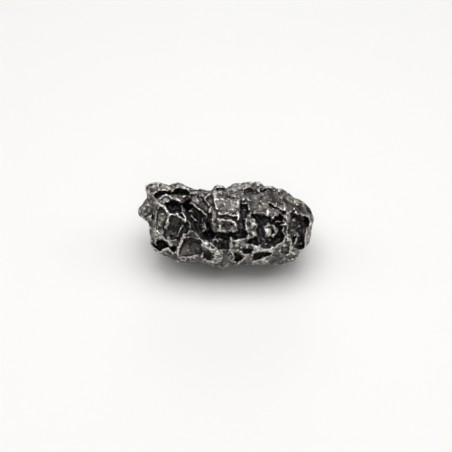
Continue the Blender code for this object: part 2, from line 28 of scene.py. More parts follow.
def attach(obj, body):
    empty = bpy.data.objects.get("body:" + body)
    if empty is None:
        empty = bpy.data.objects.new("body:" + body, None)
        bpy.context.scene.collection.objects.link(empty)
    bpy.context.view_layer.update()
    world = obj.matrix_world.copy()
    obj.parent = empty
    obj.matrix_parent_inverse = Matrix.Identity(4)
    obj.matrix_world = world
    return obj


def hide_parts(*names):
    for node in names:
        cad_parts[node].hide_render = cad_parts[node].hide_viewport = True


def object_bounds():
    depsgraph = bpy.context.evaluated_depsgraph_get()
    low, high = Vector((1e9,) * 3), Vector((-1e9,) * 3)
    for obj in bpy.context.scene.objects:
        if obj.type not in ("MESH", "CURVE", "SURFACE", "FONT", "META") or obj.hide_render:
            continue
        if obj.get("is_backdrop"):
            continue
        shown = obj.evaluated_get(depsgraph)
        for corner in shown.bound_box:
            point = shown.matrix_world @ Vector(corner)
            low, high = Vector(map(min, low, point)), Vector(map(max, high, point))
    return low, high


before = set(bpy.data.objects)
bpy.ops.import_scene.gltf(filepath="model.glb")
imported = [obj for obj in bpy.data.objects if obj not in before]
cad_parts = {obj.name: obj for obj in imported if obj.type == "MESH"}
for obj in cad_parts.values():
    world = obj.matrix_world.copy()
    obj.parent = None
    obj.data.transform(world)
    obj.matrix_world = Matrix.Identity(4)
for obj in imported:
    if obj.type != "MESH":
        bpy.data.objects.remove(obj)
cad_low, cad_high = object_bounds()
MM = 0.001
print("the solid measures, in mm:", [round(side / MM, 1) for side in cad_high - cad_low])


# %% [markdown]
# ## One eye point
#
# A stone has no straight edges to measure from. What helps is one fixed eye point: a place
# on the side that it sees is then two numbers, millimetres across and millimetres up from
# the middle of the stone, and a third says how far the surface stands out towards the eye.
# The eye point is where the camera will be, 44 degrees above the table, so each feature
# goes where it is seen.
#
# Plain X, Y and Z would do as well for the back, but on the known side each place would
# need a guess at its depth.


# %% The eye point
LENGTH = 39.8
DEPTH = 21.0
HEIGHT = 18.2
EYE_ELEVATION = math.radians(44.3)
EYE_DISTANCE = 328.0
MIDDLE = np.array([0.0, 0.0, 0.5 * HEIGHT])
ACROSS = np.array([1.0, 0.0, 0.0])
UP = np.array([0.0, math.sin(EYE_ELEVATION), math.cos(EYE_ELEVATION)])
OUT = np.array([0.0, -math.cos(EYE_ELEVATION), math.sin(EYE_ELEVATION)])


def to_view(points):
    """Places as seen from the eye point: across, up, and how far out towards the eye."""
    away = points - MIDDLE
    out = away @ OUT
    spread = EYE_DISTANCE / (EYE_DISTANCE - out)
    return away @ ACROSS * spread, away @ UP * spread, out


def from_view(across, up, out):
    """The points seen at the given places."""
    shrink = (EYE_DISTANCE - out) / EYE_DISTANCE
    return (
        MIDDLE
        + np.outer(across * shrink, ACROSS)
        + np.outer(up * shrink, UP)
        + np.outer(out, OUT)
    )


print("the eye is", EYE_DISTANCE, "mm from the middle of the stone")


# %% [markdown]
# ## Small helpers
#
# NumPy moves all the points of a mesh at once, which makes a fine mesh quick to shape.
# Blender lends out its points with foreach_get and takes them back with foreach_set. The
# Remesh modifier in voxel mode melts everything into one even skin, so after a deep cut
# the stretched faces are made new. A smooth fade from one value to another, and noise in
# patches of a known size, do the rest.


# %% Points in and out of a mesh
def read_points(mesh):
    """The mesh's points, in millimetres, one row each."""
    flat = np.empty(len(mesh.vertices) * 3)
    mesh.vertices.foreach_get("co", flat)
    return flat.reshape(-1, 3) / MM


def write_points(mesh, points):
    """Move the mesh's points to places given in millimetres."""
    mesh.vertices.foreach_set("co", (points * MM).ravel())
    mesh.update()


def read_normals(mesh):
    """The direction that the surface faces at each point."""
    flat = np.empty(len(mesh.vertices) * 3, dtype=np.float32)
    mesh.vertex_normals.foreach_get("vector", flat)
    return flat.reshape(-1, 3).astype(float)


def settle(stone):
    """Apply the stone's modifiers to its mesh."""
    depsgraph = bpy.context.evaluated_depsgraph_get()
    depsgraph.update()
    settled = bpy.data.meshes.new_from_object(stone.evaluated_get(depsgraph))
    worn_out = stone.data
    stone.modifiers.clear()
    stone.data = settled
    settled.name = stone.name
    bpy.data.meshes.remove(worn_out)


def remesh(stone, voxel):
    """Melt everything in the stone's mesh into one skin of even faces."""
    melt = stone.modifiers.new("melt", "REMESH")
    melt.mode = "VOXEL"
    melt.voxel_size = voxel * MM
    settle(stone)


def relax(stone, factor, repeats):
    """Round the skin off a little."""
    smooth = stone.modifiers.new("relax", "SMOOTH")
    smooth.factor = factor
    smooth.iterations = repeats
    settle(stone)


def fade(value, start, end):
    """1 up to start, 0 from end on, and a smooth fall between them."""
    t = np.clip((value - start) / (end - start), 0.0, 1.0)
    return 1.0 - t * t * (3.0 - 2.0 * t)


def field_noise(points, scale, octaves, offset):
    """Smooth noise from about -1 to 1, with patches of about the given size in millimetres."""
    shift = Vector((offset, 1.7 * offset, -0.6 * offset))
    values = [noise.fractal(Vector(p) / scale + shift, 0.8, 2.0, octaves) for p in points]
    return np.array(values)


# %% [markdown]
# ## The body
#
# A few overlapping balls give the rough form: a blunt end, a round middle and a narrow end
# with a tip. Melted into one skin and relaxed, they make a smooth pebble. Metaballs would
# do this too, but their size changes when a neighbour comes near.


# %% Masses
VOXEL = 0.16
MASSES = [
    ((-17.0, 0.3, 9.8), (3.2, 5.4, 5.4)),
    ((-13.2, 0.4, 9.3), (5.4, 8.6, 8.4)),
    ((-8.5, 0.2, 9.1), (6.5, 9.6, 8.9)),
    ((-3.0, 0.0, 9.0), (7.0, 10.3, 9.1)),
    ((3.0, 0.0, 9.0), (7.0, 10.5, 9.2)),
    ((8.5, 0.0, 9.0), (7.0, 10.4, 9.1)),
    ((13.0, 0.0, 8.8), (6.8, 9.3, 8.3)),
]


def make_body(collection):
    """Melt the masses into one body."""
    shape = bmesh.new()
    for centre, half in MASSES:
        place = Matrix.Translation(Vector(centre) * MM) @ Matrix.Diagonal((*half, 1.0 / MM)) * MM
        bmesh.ops.create_icosphere(shape, subdivisions=4, radius=1.0, matrix=place)
    mesh = bpy.data.meshes.new("meteorite")
    shape.to_mesh(mesh)
    shape.free()
    stone = bpy.data.objects.new("meteorite", mesh)
    collection.objects.link(stone)
    remesh(stone, VOXEL)
    relax(stone, 0.5, 60)
    return stone


stone = make_body(bpy.context.scene.collection)
print("the body has", len(stone.data.vertices), "points")


# %% [markdown]
# ## The outline
#
# The outline of the stone from the eye point is a short list of corners. The body is
# stretched to it in two goes: a broad one that moves everything, and after the back is
# shaped a narrow one that moves only what lies near the edge, so that a notch in the
# outline doesn't draw a groove across the whole stone.


# %% Stretch to the outline
OUTLINE = [
    (19.8, 1.8), (19.5, 3.0), (18.9, 4.2), (18.0, 5.2), (17.0, 5.9), (15.5, 6.5), (14.5, 7.3),
    (13.2, 8.3), (12.2, 8.6), (11.2, 8.5), (10.9, 8.9), (10.2, 9.15), (9.0, 9.0), (8.4, 9.1),
    (8.0, 9.7), (7.3, 10.0), (6.0, 10.0), (3.5, 9.8), (1.8, 9.3), (0.5, 8.9), (-0.8, 9.2),
    (-1.8, 9.45), (-2.4, 9.2), (-2.9, 8.5), (-3.3, 8.1), (-4.0, 8.0), (-4.8, 8.2), (-6.0, 8.55),
    (-7.3, 8.2), (-8.0, 7.9), (-8.4, 8.3), (-8.8, 8.9), (-9.2, 9.5), (-10.2, 9.9), (-11.3, 9.9),
    (-12.0, 9.5), (-13.0, 9.5), (-14.5, 10.0), (-16.3, 10.0), (-17.2, 9.6), (-18.0, 9.3),
    (-18.4, 8.5), (-18.0, 7.9), (-17.9, 7.0), (-18.2, 5.9), (-19.0, 4.8), (-19.9, 3.7),
    (-20.0, 3.0), (-19.0, 1.6), (-18.3, 1.3), (-17.5, 0.6), (-16.7, 0.0), (-17.2, -1.3),
    (-16.9, -2.9), (-17.2, -3.8), (-16.8, -4.8), (-16.0, -5.7), (-15.0, -6.3), (-13.5, -6.9),
    (-12.0, -7.6), (-11.0, -8.2), (-8.0, -8.3), (-4.5, -8.3), (-3.5, -8.9), (-1.5, -9.3),
    (-0.6, -9.7), (0.0, -9.5), (1.5, -8.9), (3.5, -8.3), (5.5, -8.8), (7.0, -8.6), (9.5, -8.7),
    (10.8, -8.9), (13.5, -8.6), (14.5, -8.3), (15.5, -7.8), (16.2, -7.3), (16.3, -6.5),
    (16.5, -5.9), (17.0, -5.4), (17.8, -5.0), (18.5, -4.2), (19.0, -3.2), (19.1, -2.0),
    (19.2, -0.8), (19.6, 0.3),
]


def stretch_to_outline(points, window, inward):
    """Stretch the body, seen from the eye point, towards the stone's outline.

    window is how far the stretch is evened out round the outline, in steps, and inward
    is how fast it dies away from the outline to the middle. A stretch that dies away
    fast is kept off the front and the back too.
    """
    across, up, out = to_view(points)
    angle = np.arctan2(up, across)
    reach = np.hypot(across, up)
    steps = 240
    turn = 2.0 * math.pi
    slot = ((angle + math.pi) / turn * steps).astype(int) % steps
    edge = np.zeros(steps)
    np.maximum.at(edge, slot, reach)
    slot_angle = (np.arange(steps) + 0.5) / steps * turn - math.pi
    corners = sorted((math.atan2(y, x), math.hypot(x, y)) for x, y in OUTLINE)
    corner_angle, corner_reach = np.array(corners).T
    ratio = np.interp(slot_angle, corner_angle, corner_reach, period=turn) / edge
    wrapped = np.concatenate([ratio[-window:], ratio, ratio[:window]])
    even = np.convolve(wrapped, np.ones(2 * window + 1) / (2 * window + 1), mode="valid")
    nearness = np.clip(reach / np.interp(angle, slot_angle, edge, period=turn), 0.0, 1.0) ** inward
    if inward > 1.0:
        nearness *= fade(np.abs(out), 2.0, 5.5)
    factor = 1.0 + (np.interp(angle, slot_angle, even, period=turn) - 1.0) * nearness
    return from_view(across * factor, up * factor, out)


write_points(stone.data, stretch_to_outline(read_points(stone.data), 14, 1.0))
print("outline corners:", len(OUTLINE))


# %% [markdown]
# ## Swells, dents and sockets
#
# No side of the real stone is a plain oval. Broad dents and low swells come first. Then
# come the sockets on the back, the ends and the underside: the middle of each is a chance
# place on the skin, every point belongs to the nearest middle, and the surface sinks with
# the distance from the wall between two of them. That is how the crystals grew, each
# until it met its neighbours, so the walls come out straight and thin.


# %% Dents and sockets
SEED = 11

# Sockets of the hidden sides: least distance between two, and the depths they may have
SOCKET_TRIES = 2500
SOCKET_GAP = (2.1, 4.4)
SOCKET_DEPTHS = (-0.5, 0.4, 0.9, 1.2, 1.5, 1.9)

# Their walls: half the flat top, where the slope ends, and how far and how often they wander
SOCKET_WALL = (0.12, 1.15)
SOCKET_WAVER = 0.45
SOCKET_WAVER_SIZE = 2.2

# Broad dents and humps of the sides that the eye point doesn't see: place, reach and depth
DENTS = [
    ((12.5, 9.0, 12.0), 8.0, 1.7),
    ((-11.0, 9.5, 5.5), 7.0, 1.5),
    ((1.5, 10.5, 8.0), 6.0, -1.0),
    ((-4.0, 8.0, 15.5), 6.0, 1.2),
    ((19.0, 3.0, 5.0), 6.0, 1.3),
    ((-17.5, 3.0, 8.0), 5.0, 0.9),
    ((10.0, 2.0, 0.0), 6.0, 0.9),
    ((-11.5, 1.0, 0.5), 6.0, 0.8),
]

# Swells of the whole skin, half the height between the tops and the bottoms
BROAD_SWELL = 0.6
FINE_SWELL = 0.25

# How far the crests of the seen side stand up and its hollows go down, against the
# heights that are given for each of them below
CREST_SHARE = 0.75
HOLLOW_SHARE = 0.85

# How far the edges of the seen side's features wander, and over what distance
WAVER = 0.2
WAVER_SIZE = 1.3


def roughen(points, normals):
    """Dent the body, and give all of it broad, low swells, so that no side is a plain oval."""
    swell = BROAD_SWELL * field_noise(points, 7.0, 2, 9.0) + FINE_SWELL * field_noise(points, 2.6, 2, 31.0)
    for place, reach, depth in DENTS:
        swell -= depth * fade(np.linalg.norm(points - place, axis=1), 0.25 * reach, reach)
    return points + normals * swell[:, None]


def scatter_sockets(skin):
    """The middle of each socket on the skin, and its depth."""
    chance = random.Random(SEED)
    places = []
    depths = []
    for _ in range(SOCKET_TRIES):
        aim = np.array([chance.gauss(0.0, 1.0) for _ in range(3)])
        gap = chance.uniform(*SOCKET_GAP)
        depth = chance.choice(SOCKET_DEPTHS) * chance.uniform(0.7, 1.2)
        place = MIDDLE + aim / np.linalg.norm(aim / (0.5 * LENGTH, 0.5 * DEPTH, 0.5 * HEIGHT))
        if all(np.linalg.norm(place - other) > gap for other in places):
            places.append(place)
            depths.append(depth)
    near = [np.argmin(np.linalg.norm(skin - place, axis=1)) for place in places]
    return skin[near], np.array(depths)


def shape_sockets(points, normals):
    """Cover the back, the ends and the underside with sockets that thin walls part."""
    places, depths = scatter_sockets(points)
    share = fade(to_view(points)[2], 0.0, 2.8)
    hidden = share > 0.0
    skin = points[hidden]
    waver = np.stack([field_noise(skin, SOCKET_WAVER_SIZE, 2, shift) for shift in (5.0, 23.0, 61.0)], axis=1)
    gaps = np.linalg.norm((skin + SOCKET_WAVER * waver)[:, None, :] - places[None, :, :], axis=2)
    order = np.argsort(gaps, axis=1)[:, :2]
    nearest = np.take_along_axis(gaps, order, axis=1)
    from_wall = 0.5 * (nearest[:, 1] - nearest[:, 0])
    sunk = depths[order[:, 0]] * (1.0 - fade(from_wall, *SOCKET_WALL))
    underside = fade(normals[hidden][:, 2], -0.9, -0.4)
    sunk *= 1.0 - 0.5 * underside
    shaped = points.copy()
    shaped[hidden] -= normals[hidden] * (share[hidden] * sunk)[:, None]
    return shaped


write_points(stone.data, roughen(read_points(stone.data), read_normals(stone.data)))
write_points(stone.data, shape_sockets(read_points(stone.data), read_normals(stone.data)))
points = stretch_to_outline(read_points(stone.data), 1, 9.0)
points = stretch_to_outline(points, 1, 9.0)
print("broad dents and humps:", len(DENTS))


# %% [markdown]
# ## The foot
#
# The stone lies on a small flat under its centre of mass. The skin round that spot is
# filled out first, and the flat is cut at the very end.


# %% Foot
FOOT_PLACE = (0.6, 0.0)
FOOT_REACH = 6.5
FOOT_LEVEL = -0.5
FOOT_CUT = 0.3


def shape_foot(points):
    """Fill out the skin round the rest spot, so that the stone lies on it and on nothing else."""
    reach = np.hypot(points[:, 0] - FOOT_PLACE[0], (points[:, 1] - FOOT_PLACE[1]) * 1.25)
    share = fade(reach, 0.55 * FOOT_REACH, FOOT_REACH) * fade(points[:, 2], 1.5, 5.0)
    shaped = points.copy()
    shaped[:, 2] += share * (FOOT_LEVEL - points[:, 2])
    return shaped


write_points(stone.data, shape_foot(points))
remesh(stone, VOXEL)
print("with its foot the stone has", len(stone.data.vertices), "points")


# %% [markdown]
# ## Tools for the side that the eye sees
#
# The known side is a relief: at each place across and up it has one height towards the
# eye. Eight tools shape it, as a carver would. A pit, a trough and a sunk patch go in. A
# knob, a wall, a peak and a block stand up. A face makes a patch flat. Each moves the
# surface only along the line of sight, so a feature stays where it is seen however deep
# it goes.


# %% Relief tools
class Relief:
    """The heights of the side seen from the eye point, shaped one feature at a time."""

    def __init__(self, across, up, out):
        self.across = across
        self.up = up
        self.base = out.copy()
        self.out = out.copy()

    def oval(self, place, half, turn):
        """0 in the middle of an oval and 1 on its edge."""
        c = math.cos(math.radians(turn))
        s = math.sin(math.radians(turn))
        x = self.across - place[0]
        y = self.up - place[1]
        return np.hypot((x * c + y * s) / half[0], (y * c - x * s) / half[1])

    def line(self, route):
        """Distance to a line of straight runs."""
        near = np.full(self.across.shape, 1e9)
        for (ax, ay), (bx, by) in zip(route, route[1:]):
            length = math.dist((ax, ay), (bx, by))
            ux, uy = (bx - ax) / length, (by - ay) / length
            t = np.clip((self.across - ax) * ux + (self.up - ay) * uy, 0.0, length)
            near = np.minimum(near, np.hypot(self.across - ax - t * ux, self.up - ay - t * uy))
        return near

    def pit(self, place, half, depth, turn=0.0, floor=0.35):
        """An oval hollow; floor is the share of its radius that is flat."""
        self.out -= HOLLOW_SHARE * depth * fade(self.oval(place, half, turn), floor, 1.0)

    def knob(self, place, half, high, turn=0.0, top=0.0):
        """An oval lump."""
        self.out += CREST_SHARE * high * fade(self.oval(place, half, turn), top, 1.0)

    def trough(self, route, wide, depth, floor=0.3):
        """A hollow along a line; wide is its half-width."""
        near = self.line(route)
        self.out -= HOLLOW_SHARE * depth * fade(near / wide, floor, 1.0)

    def wall(self, route, wide, high, edge):
        """A wall along a line, up to a height above the body; wide is half its flat top."""
        near = self.line(route)
        share = fade(near, wide, wide + 2.0 * edge)
        top = self.base + CREST_SHARE * high
        self.out += share * np.maximum(top - self.out, 0.0)

    def peak(self, apex, corners, high):
        """A pyramid: flat faces fall from the apex to the corners round it."""
        x = self.across - apex[0]
        y = self.up - apex[1]
        rise = np.zeros(x.shape)
        for (ax, ay), (bx, by) in zip(corners, corners[1:] + corners[:1]):
            ax, ay, bx, by = ax - apex[0], ay - apex[1], bx - apex[0], by - apex[1]
            area = ax * by - bx * ay
            to_a = (x * by - bx * y) / area
            to_b = (ax * y - x * ay) / area
            rise = np.where((to_a >= 0.0) & (to_b >= 0.0), np.maximum(rise, 1.0 - to_a - to_b), rise)
        self.out += CREST_SHARE * high * rise

    def reach_in(self, corners):
        """How far each place is inside a patch with these corners; negative outside it."""
        near = self.line(corners + corners[:1])
        inside = np.zeros(self.across.shape, dtype=bool)
        for (ax, ay), (bx, by) in zip(corners, corners[1:] + corners[:1]):
            if ay != by:
                meet = ax + (self.up - ay) * (bx - ax) / (by - ay)
                inside ^= ((ay > self.up) != (by > self.up)) & (self.across < meet)
        return np.where(inside, near, -near)

    def sink(self, corners, depth, edge):
        """Let the patch inside the corners down; edge is the half-width of its sloping wall."""
        self.out -= HOLLOW_SHARE * depth * fade(-self.reach_in(corners), -edge, edge)

    def block(self, corners, high, edge):
        """Bring the patch inside the corners to a height above the body, with rounded sides."""
        share = fade(-self.reach_in(corners), -edge, edge)
        self.out += share * (self.base + CREST_SHARE * high - self.out)

    def face(self, corners, high, slope_across=0.0, slope_up=0.0, edge=0.4):
        """Bring the patch inside the corners to one plane, high above the body in its middle."""
        reach = self.reach_in(corners)
        inside = reach > 0.0
        plane = (
            self.base[inside].mean()
            + high
            + slope_across * (self.across - self.across[inside].mean())
            + slope_up * (self.up - self.up[inside].mean())
        )
        self.out += fade(-reach, -edge, edge) * (plane - self.out)


# %% [markdown]
# ## The narrow end
#
# Two humps with a cave between them, a shelf with a turned-up lip, and under them thin
# walls round wide, dark sockets.


# %% Narrow end
def shape_left_end(side):
    """Crests and hollows of the narrow end: the sunk places first, then what stands between them."""
    # Cave under both humps, and the deep hollow under the shelf
    side.sink([(-16.3, 7.0), (-15.2, 7.7), (-13.6, 8.1), (-12.2, 7.9), (-11.6, 8.3), (-9.6, 8.6),
        (-8.4, 7.9), (-8.2, 6.9), (-12.3, 6.9), (-13.4, 7.2), (-14.6, 6.7), (-15.7, 6.3)], 3.0, 0.35)
    side.sink([(-13.7, 4.9), (-12.4, 5.5), (-8.0, 5.4), (-7.4, 4.4), (-8.8, 3.4), (-10.3, 3.1),
        (-12.9, 3.2)], 3.4, 0.3)
    # Sockets below: an oval bowl, a long face, a smooth oval, a pit on the edge and two at the corner
    side.face([(-15.3, 3.9), (-14.3, 4.3), (-13.4, 3.5), (-13.1, 1.5), (-13.5, -0.9), (-14.6, -2.0),
        (-15.8, -0.8), (-15.9, 2.2)], -0.9, 0.05, -0.1, 0.3)
    side.face([(-12.8, 1.9), (-11.7, 2.2), (-10.4, 1.6), (-9.9, 0.2), (-10.9, -2.8), (-13.3, -3.0),
        (-14.2, -1.9), (-13.3, 0.0)], -1.9, -0.15, 0.25, 0.25)
    side.sink([(-9.7, 0.7), (-8.6, 0.8), (-8.5, -0.7), (-9.1, -2.0), (-10.3, -3.4), (-11.2, -3.4),
        (-10.5, -1.4)], 1.5, 0.3)
    side.sink([(-17.2, -0.8), (-16.4, -0.8), (-16.0, -2.2), (-16.3, -3.2), (-17.3, -2.8)], 1.3, 0.25)
    side.face([(-16.5, -3.3), (-15.1, -3.1), (-13.1, -3.6), (-12.8, -4.5), (-13.8, -5.3), (-14.9, -5.8),
        (-16.3, -4.7)], -1.5, 0.1, 0.2, 0.25)
    side.sink([(-12.8, -4.7), (-11.3, -4.6), (-11.1, -5.8), (-11.8, -6.1), (-12.7, -5.2)], 1.8, 0.25)
    # Left hump, dark and lumpy
    side.block([(-17.9, 9.4), (-15.5, 9.9), (-15.0, 9.0), (-15.4, 8.0), (-16.0, 7.0), (-17.2, 6.2),
        (-18.1, 7.0), (-18.6, 8.4)], 0.7, 0.6)
    side.pit((-17.8, 8.6), (0.5, 0.5), 0.7)
    side.pit((-16.9, 8.3), (0.6, 0.4), 0.6, 30)
    side.pit((-17.1, 5.9), (0.9, 0.35), 0.7, 20)
    side.peak((-17.5, 7.5), [(-18.2, 7.0), (-17.2, 6.3), (-16.4, 7.2), (-16.8, 8.2), (-18.0, 8.0)], 0.6)
    side.peak((-16.2, 9.3), [(-17.4, 9.2), (-16.4, 8.5), (-15.5, 8.9), (-15.6, 9.7), (-16.9, 9.9)], 0.6)
    side.wall([(-15.35, 9.3), (-15.1, 8.8), (-15.05, 8.1)], 0.12, 1.1, 0.18)
    side.peak((-16.2, 6.25), [(-16.6, 6.1), (-16.2, 5.9), (-15.8, 6.2), (-16.1, 6.6)], 1.2)
    # Curled crests between the humps
    side.wall([(-14.7, 9.5), (-14.0, 9.3), (-13.2, 8.8), (-12.6, 8.7)], 0.2, 0.8, 0.25)
    side.wall([(-14.5, 8.9), (-14.1, 8.3), (-13.4, 8.2)], 0.22, 0.7, 0.25)
    side.pit((-14.8, 9.2), (0.35, 0.6), 1.0, -15)
    side.pit((-13.6, 9.3), (0.5, 0.25), 0.8, -20)
    side.pit((-13.0, 8.3), (0.6, 0.25), 1.0)
    # Right hump: an arched roof in two layers
    side.wall([(-12.9, 8.8), (-12.1, 9.4), (-11.2, 9.8), (-10.0, 9.8), (-9.2, 9.2), (-8.6, 8.3)], 0.3, 0.75,
        0.25)
    side.trough([(-12.3, 8.7), (-11.6, 9.2), (-10.6, 9.4), (-9.6, 9.2)], 0.25, 1.1)
    side.wall([(-12.1, 8.0), (-11.5, 8.6), (-10.8, 9.0), (-10.1, 9.0), (-9.4, 8.4)], 0.2, 1.0, 0.2)
    side.knob((-10.3, 8.3), (0.6, 0.4), 1.6, 20)
    side.knob((-9.4, 8.2), (0.4, 0.4), 1.4)
    # Shelf with a turned-up lip, brightest of all
    side.face([(-12.5, 7.1), (-8.0, 7.1), (-8.0, 5.9), (-9.3, 5.4), (-11.2, 5.8), (-12.5, 6.3)], -0.3, 0.0,
        -0.5)
    side.wall([(-12.5, 6.7), (-12.1, 6.3), (-11.4, 6.05), (-10.5, 5.75), (-9.6, 5.55), (-8.9, 5.65),
        (-8.3, 5.95), (-8.0, 6.6)], 0.16, 1.5, 0.22)
    # Three-cornered face, its peak, and the thick crest that runs down from it
    side.face([(-15.0, 6.1), (-13.4, 7.1), (-12.7, 6.4), (-12.4, 5.4), (-14.6, 5.0)], 0.2, 0.1, -0.3, 0.25)
    side.wall([(-14.9, 6.2), (-14.2, 6.7), (-13.5, 7.0), (-13.1, 6.8)], 0.1, 0.9, 0.2)
    side.knob((-15.6, 5.7), (0.6, 0.6), 0.8)
    side.wall([(-15.6, 5.2), (-15.0, 4.85), (-14.4, 4.5), (-13.9, 4.15), (-13.4, 3.6), (-13.1, 3.1)], 0.22,
        1.0, 0.22)
    # Tip and the grey bands beside it
    side.pit((-19.1, 2.8), (0.75, 0.7), 0.8)
    side.pit((-18.0, 2.1), (0.5, 0.35), 0.5)
    side.peak((-17.6, 4.9), [(-19.0, 3.9), (-17.5, 3.6), (-16.3, 4.2), (-16.6, 5.6), (-17.9, 6.0)], 0.9)
    side.pit((-16.8, 4.7), (0.55, 0.22), 1.1, 25)
    side.pit((-18.0, 5.2), (0.4, 0.2), 0.7, 50)
    side.peak((-17.3, 3.3), [(-18.4, 2.6), (-17.5, 2.3), (-16.5, 3.0), (-16.7, 3.8), (-18.0, 3.9)], 0.6)
    # Thin rims of the oval bowl, and the small crest left of it
    side.wall([(-14.9, 4.5), (-15.5, 3.6), (-15.9, 2.6), (-16.05, 1.5), (-15.9, 0.7)], 0.08, 0.7, 0.2)
    side.wall([(-13.0, 3.1), (-12.95, 2.0), (-13.15, 0.8), (-13.4, -0.3)], 0.2, 0.25, 0.25)
    side.pit((-16.5, 2.0), (0.45, 0.8), 1.5, 15)
    side.wall([(-16.4, 2.9), (-16.9, 2.5), (-17.15, 1.9), (-17.0, 1.4), (-16.5, 1.0)], 0.12, 0.8, 0.2)
    # Arch over the long face, and the upright crests at its right end
    side.block([(-13.2, 3.2), (-12.0, 3.0), (-10.9, 2.95), (-10.5, 2.3), (-9.9, 1.8), (-9.2, 1.55),
        (-9.2, 1.1), (-10.0, 1.5), (-10.9, 2.0), (-11.8, 2.35), (-12.6, 2.2), (-13.1, 2.5)], 0.9, 0.2)
    side.pit((-10.15, 2.5), (0.4, 0.4), 1.6)
    side.wall([(-9.9, 4.4), (-9.8, 3.8), (-9.9, 3.1)], 0.1, 0.9, 0.2)
    side.wall([(-9.5, 3.6), (-9.35, 2.8), (-9.2, 2.0), (-9.15, 1.1)], 0.13, 0.9, 0.22)
    side.knob((-9.0, 3.7), (0.25, 0.25), 1.5)
    side.wall([(-9.6, 0.3), (-10.2, -0.5), (-10.6, -1.3), (-10.9, -2.2)], 0.08, -0.3, 0.2)
    # Left edge and the cluster of small crests at the lower corner
    side.wall([(-16.9, -0.3), (-16.3, -0.5), (-15.9, -1.3), (-15.7, -2.2)], 0.1, 0.3, 0.22)
    side.wall([(-13.0, -2.7), (-13.05, -3.3), (-12.7, -4.0), (-12.1, -4.3), (-11.5, -4.1), (-11.1, -3.6)],
        0.16, 0.2, 0.25)
    side.peak((-15.5, -2.7), [(-16.0, -2.9), (-15.4, -3.2), (-15.1, -2.6), (-15.4, -2.2)], 1.0)
    side.peak((-14.6, -2.3), [(-15.0, -2.5), (-14.5, -2.7), (-14.3, -2.2), (-14.6, -1.9)], 0.9)
    side.peak((-13.6, -3.3), [(-14.1, -3.5), (-13.3, -3.6), (-13.2, -3.1), (-13.9, -3.0)], 1.0)
    side.wall([(-15.7, -3.1), (-16.0, -3.6), (-15.8, -4.2)], 0.12, 0.0, 0.2)
    side.wall([(-17.2, -3.8), (-16.7, -4.7), (-16.0, -5.15), (-15.5, -5.6), (-15.0, -6.0)], 0.14, 0.7, 0.25)
    side.wall([(-14.8, -6.0), (-14.0, -5.5), (-13.1, -5.15), (-12.5, -5.6), (-12.0, -6.1), (-11.5, -6.6)],
        0.16, 0.9, 0.25)
    side.wall([(-13.4, -6.0), (-12.6, -6.1), (-12.1, -6.7)], 0.1, 0.5, 0.2)


# %% [markdown]
# ## The middle
#
# A valley runs down from the shelf. A squared block stands in it, with a ledge, a notch
# and a knob below, and the ground under it is broken.


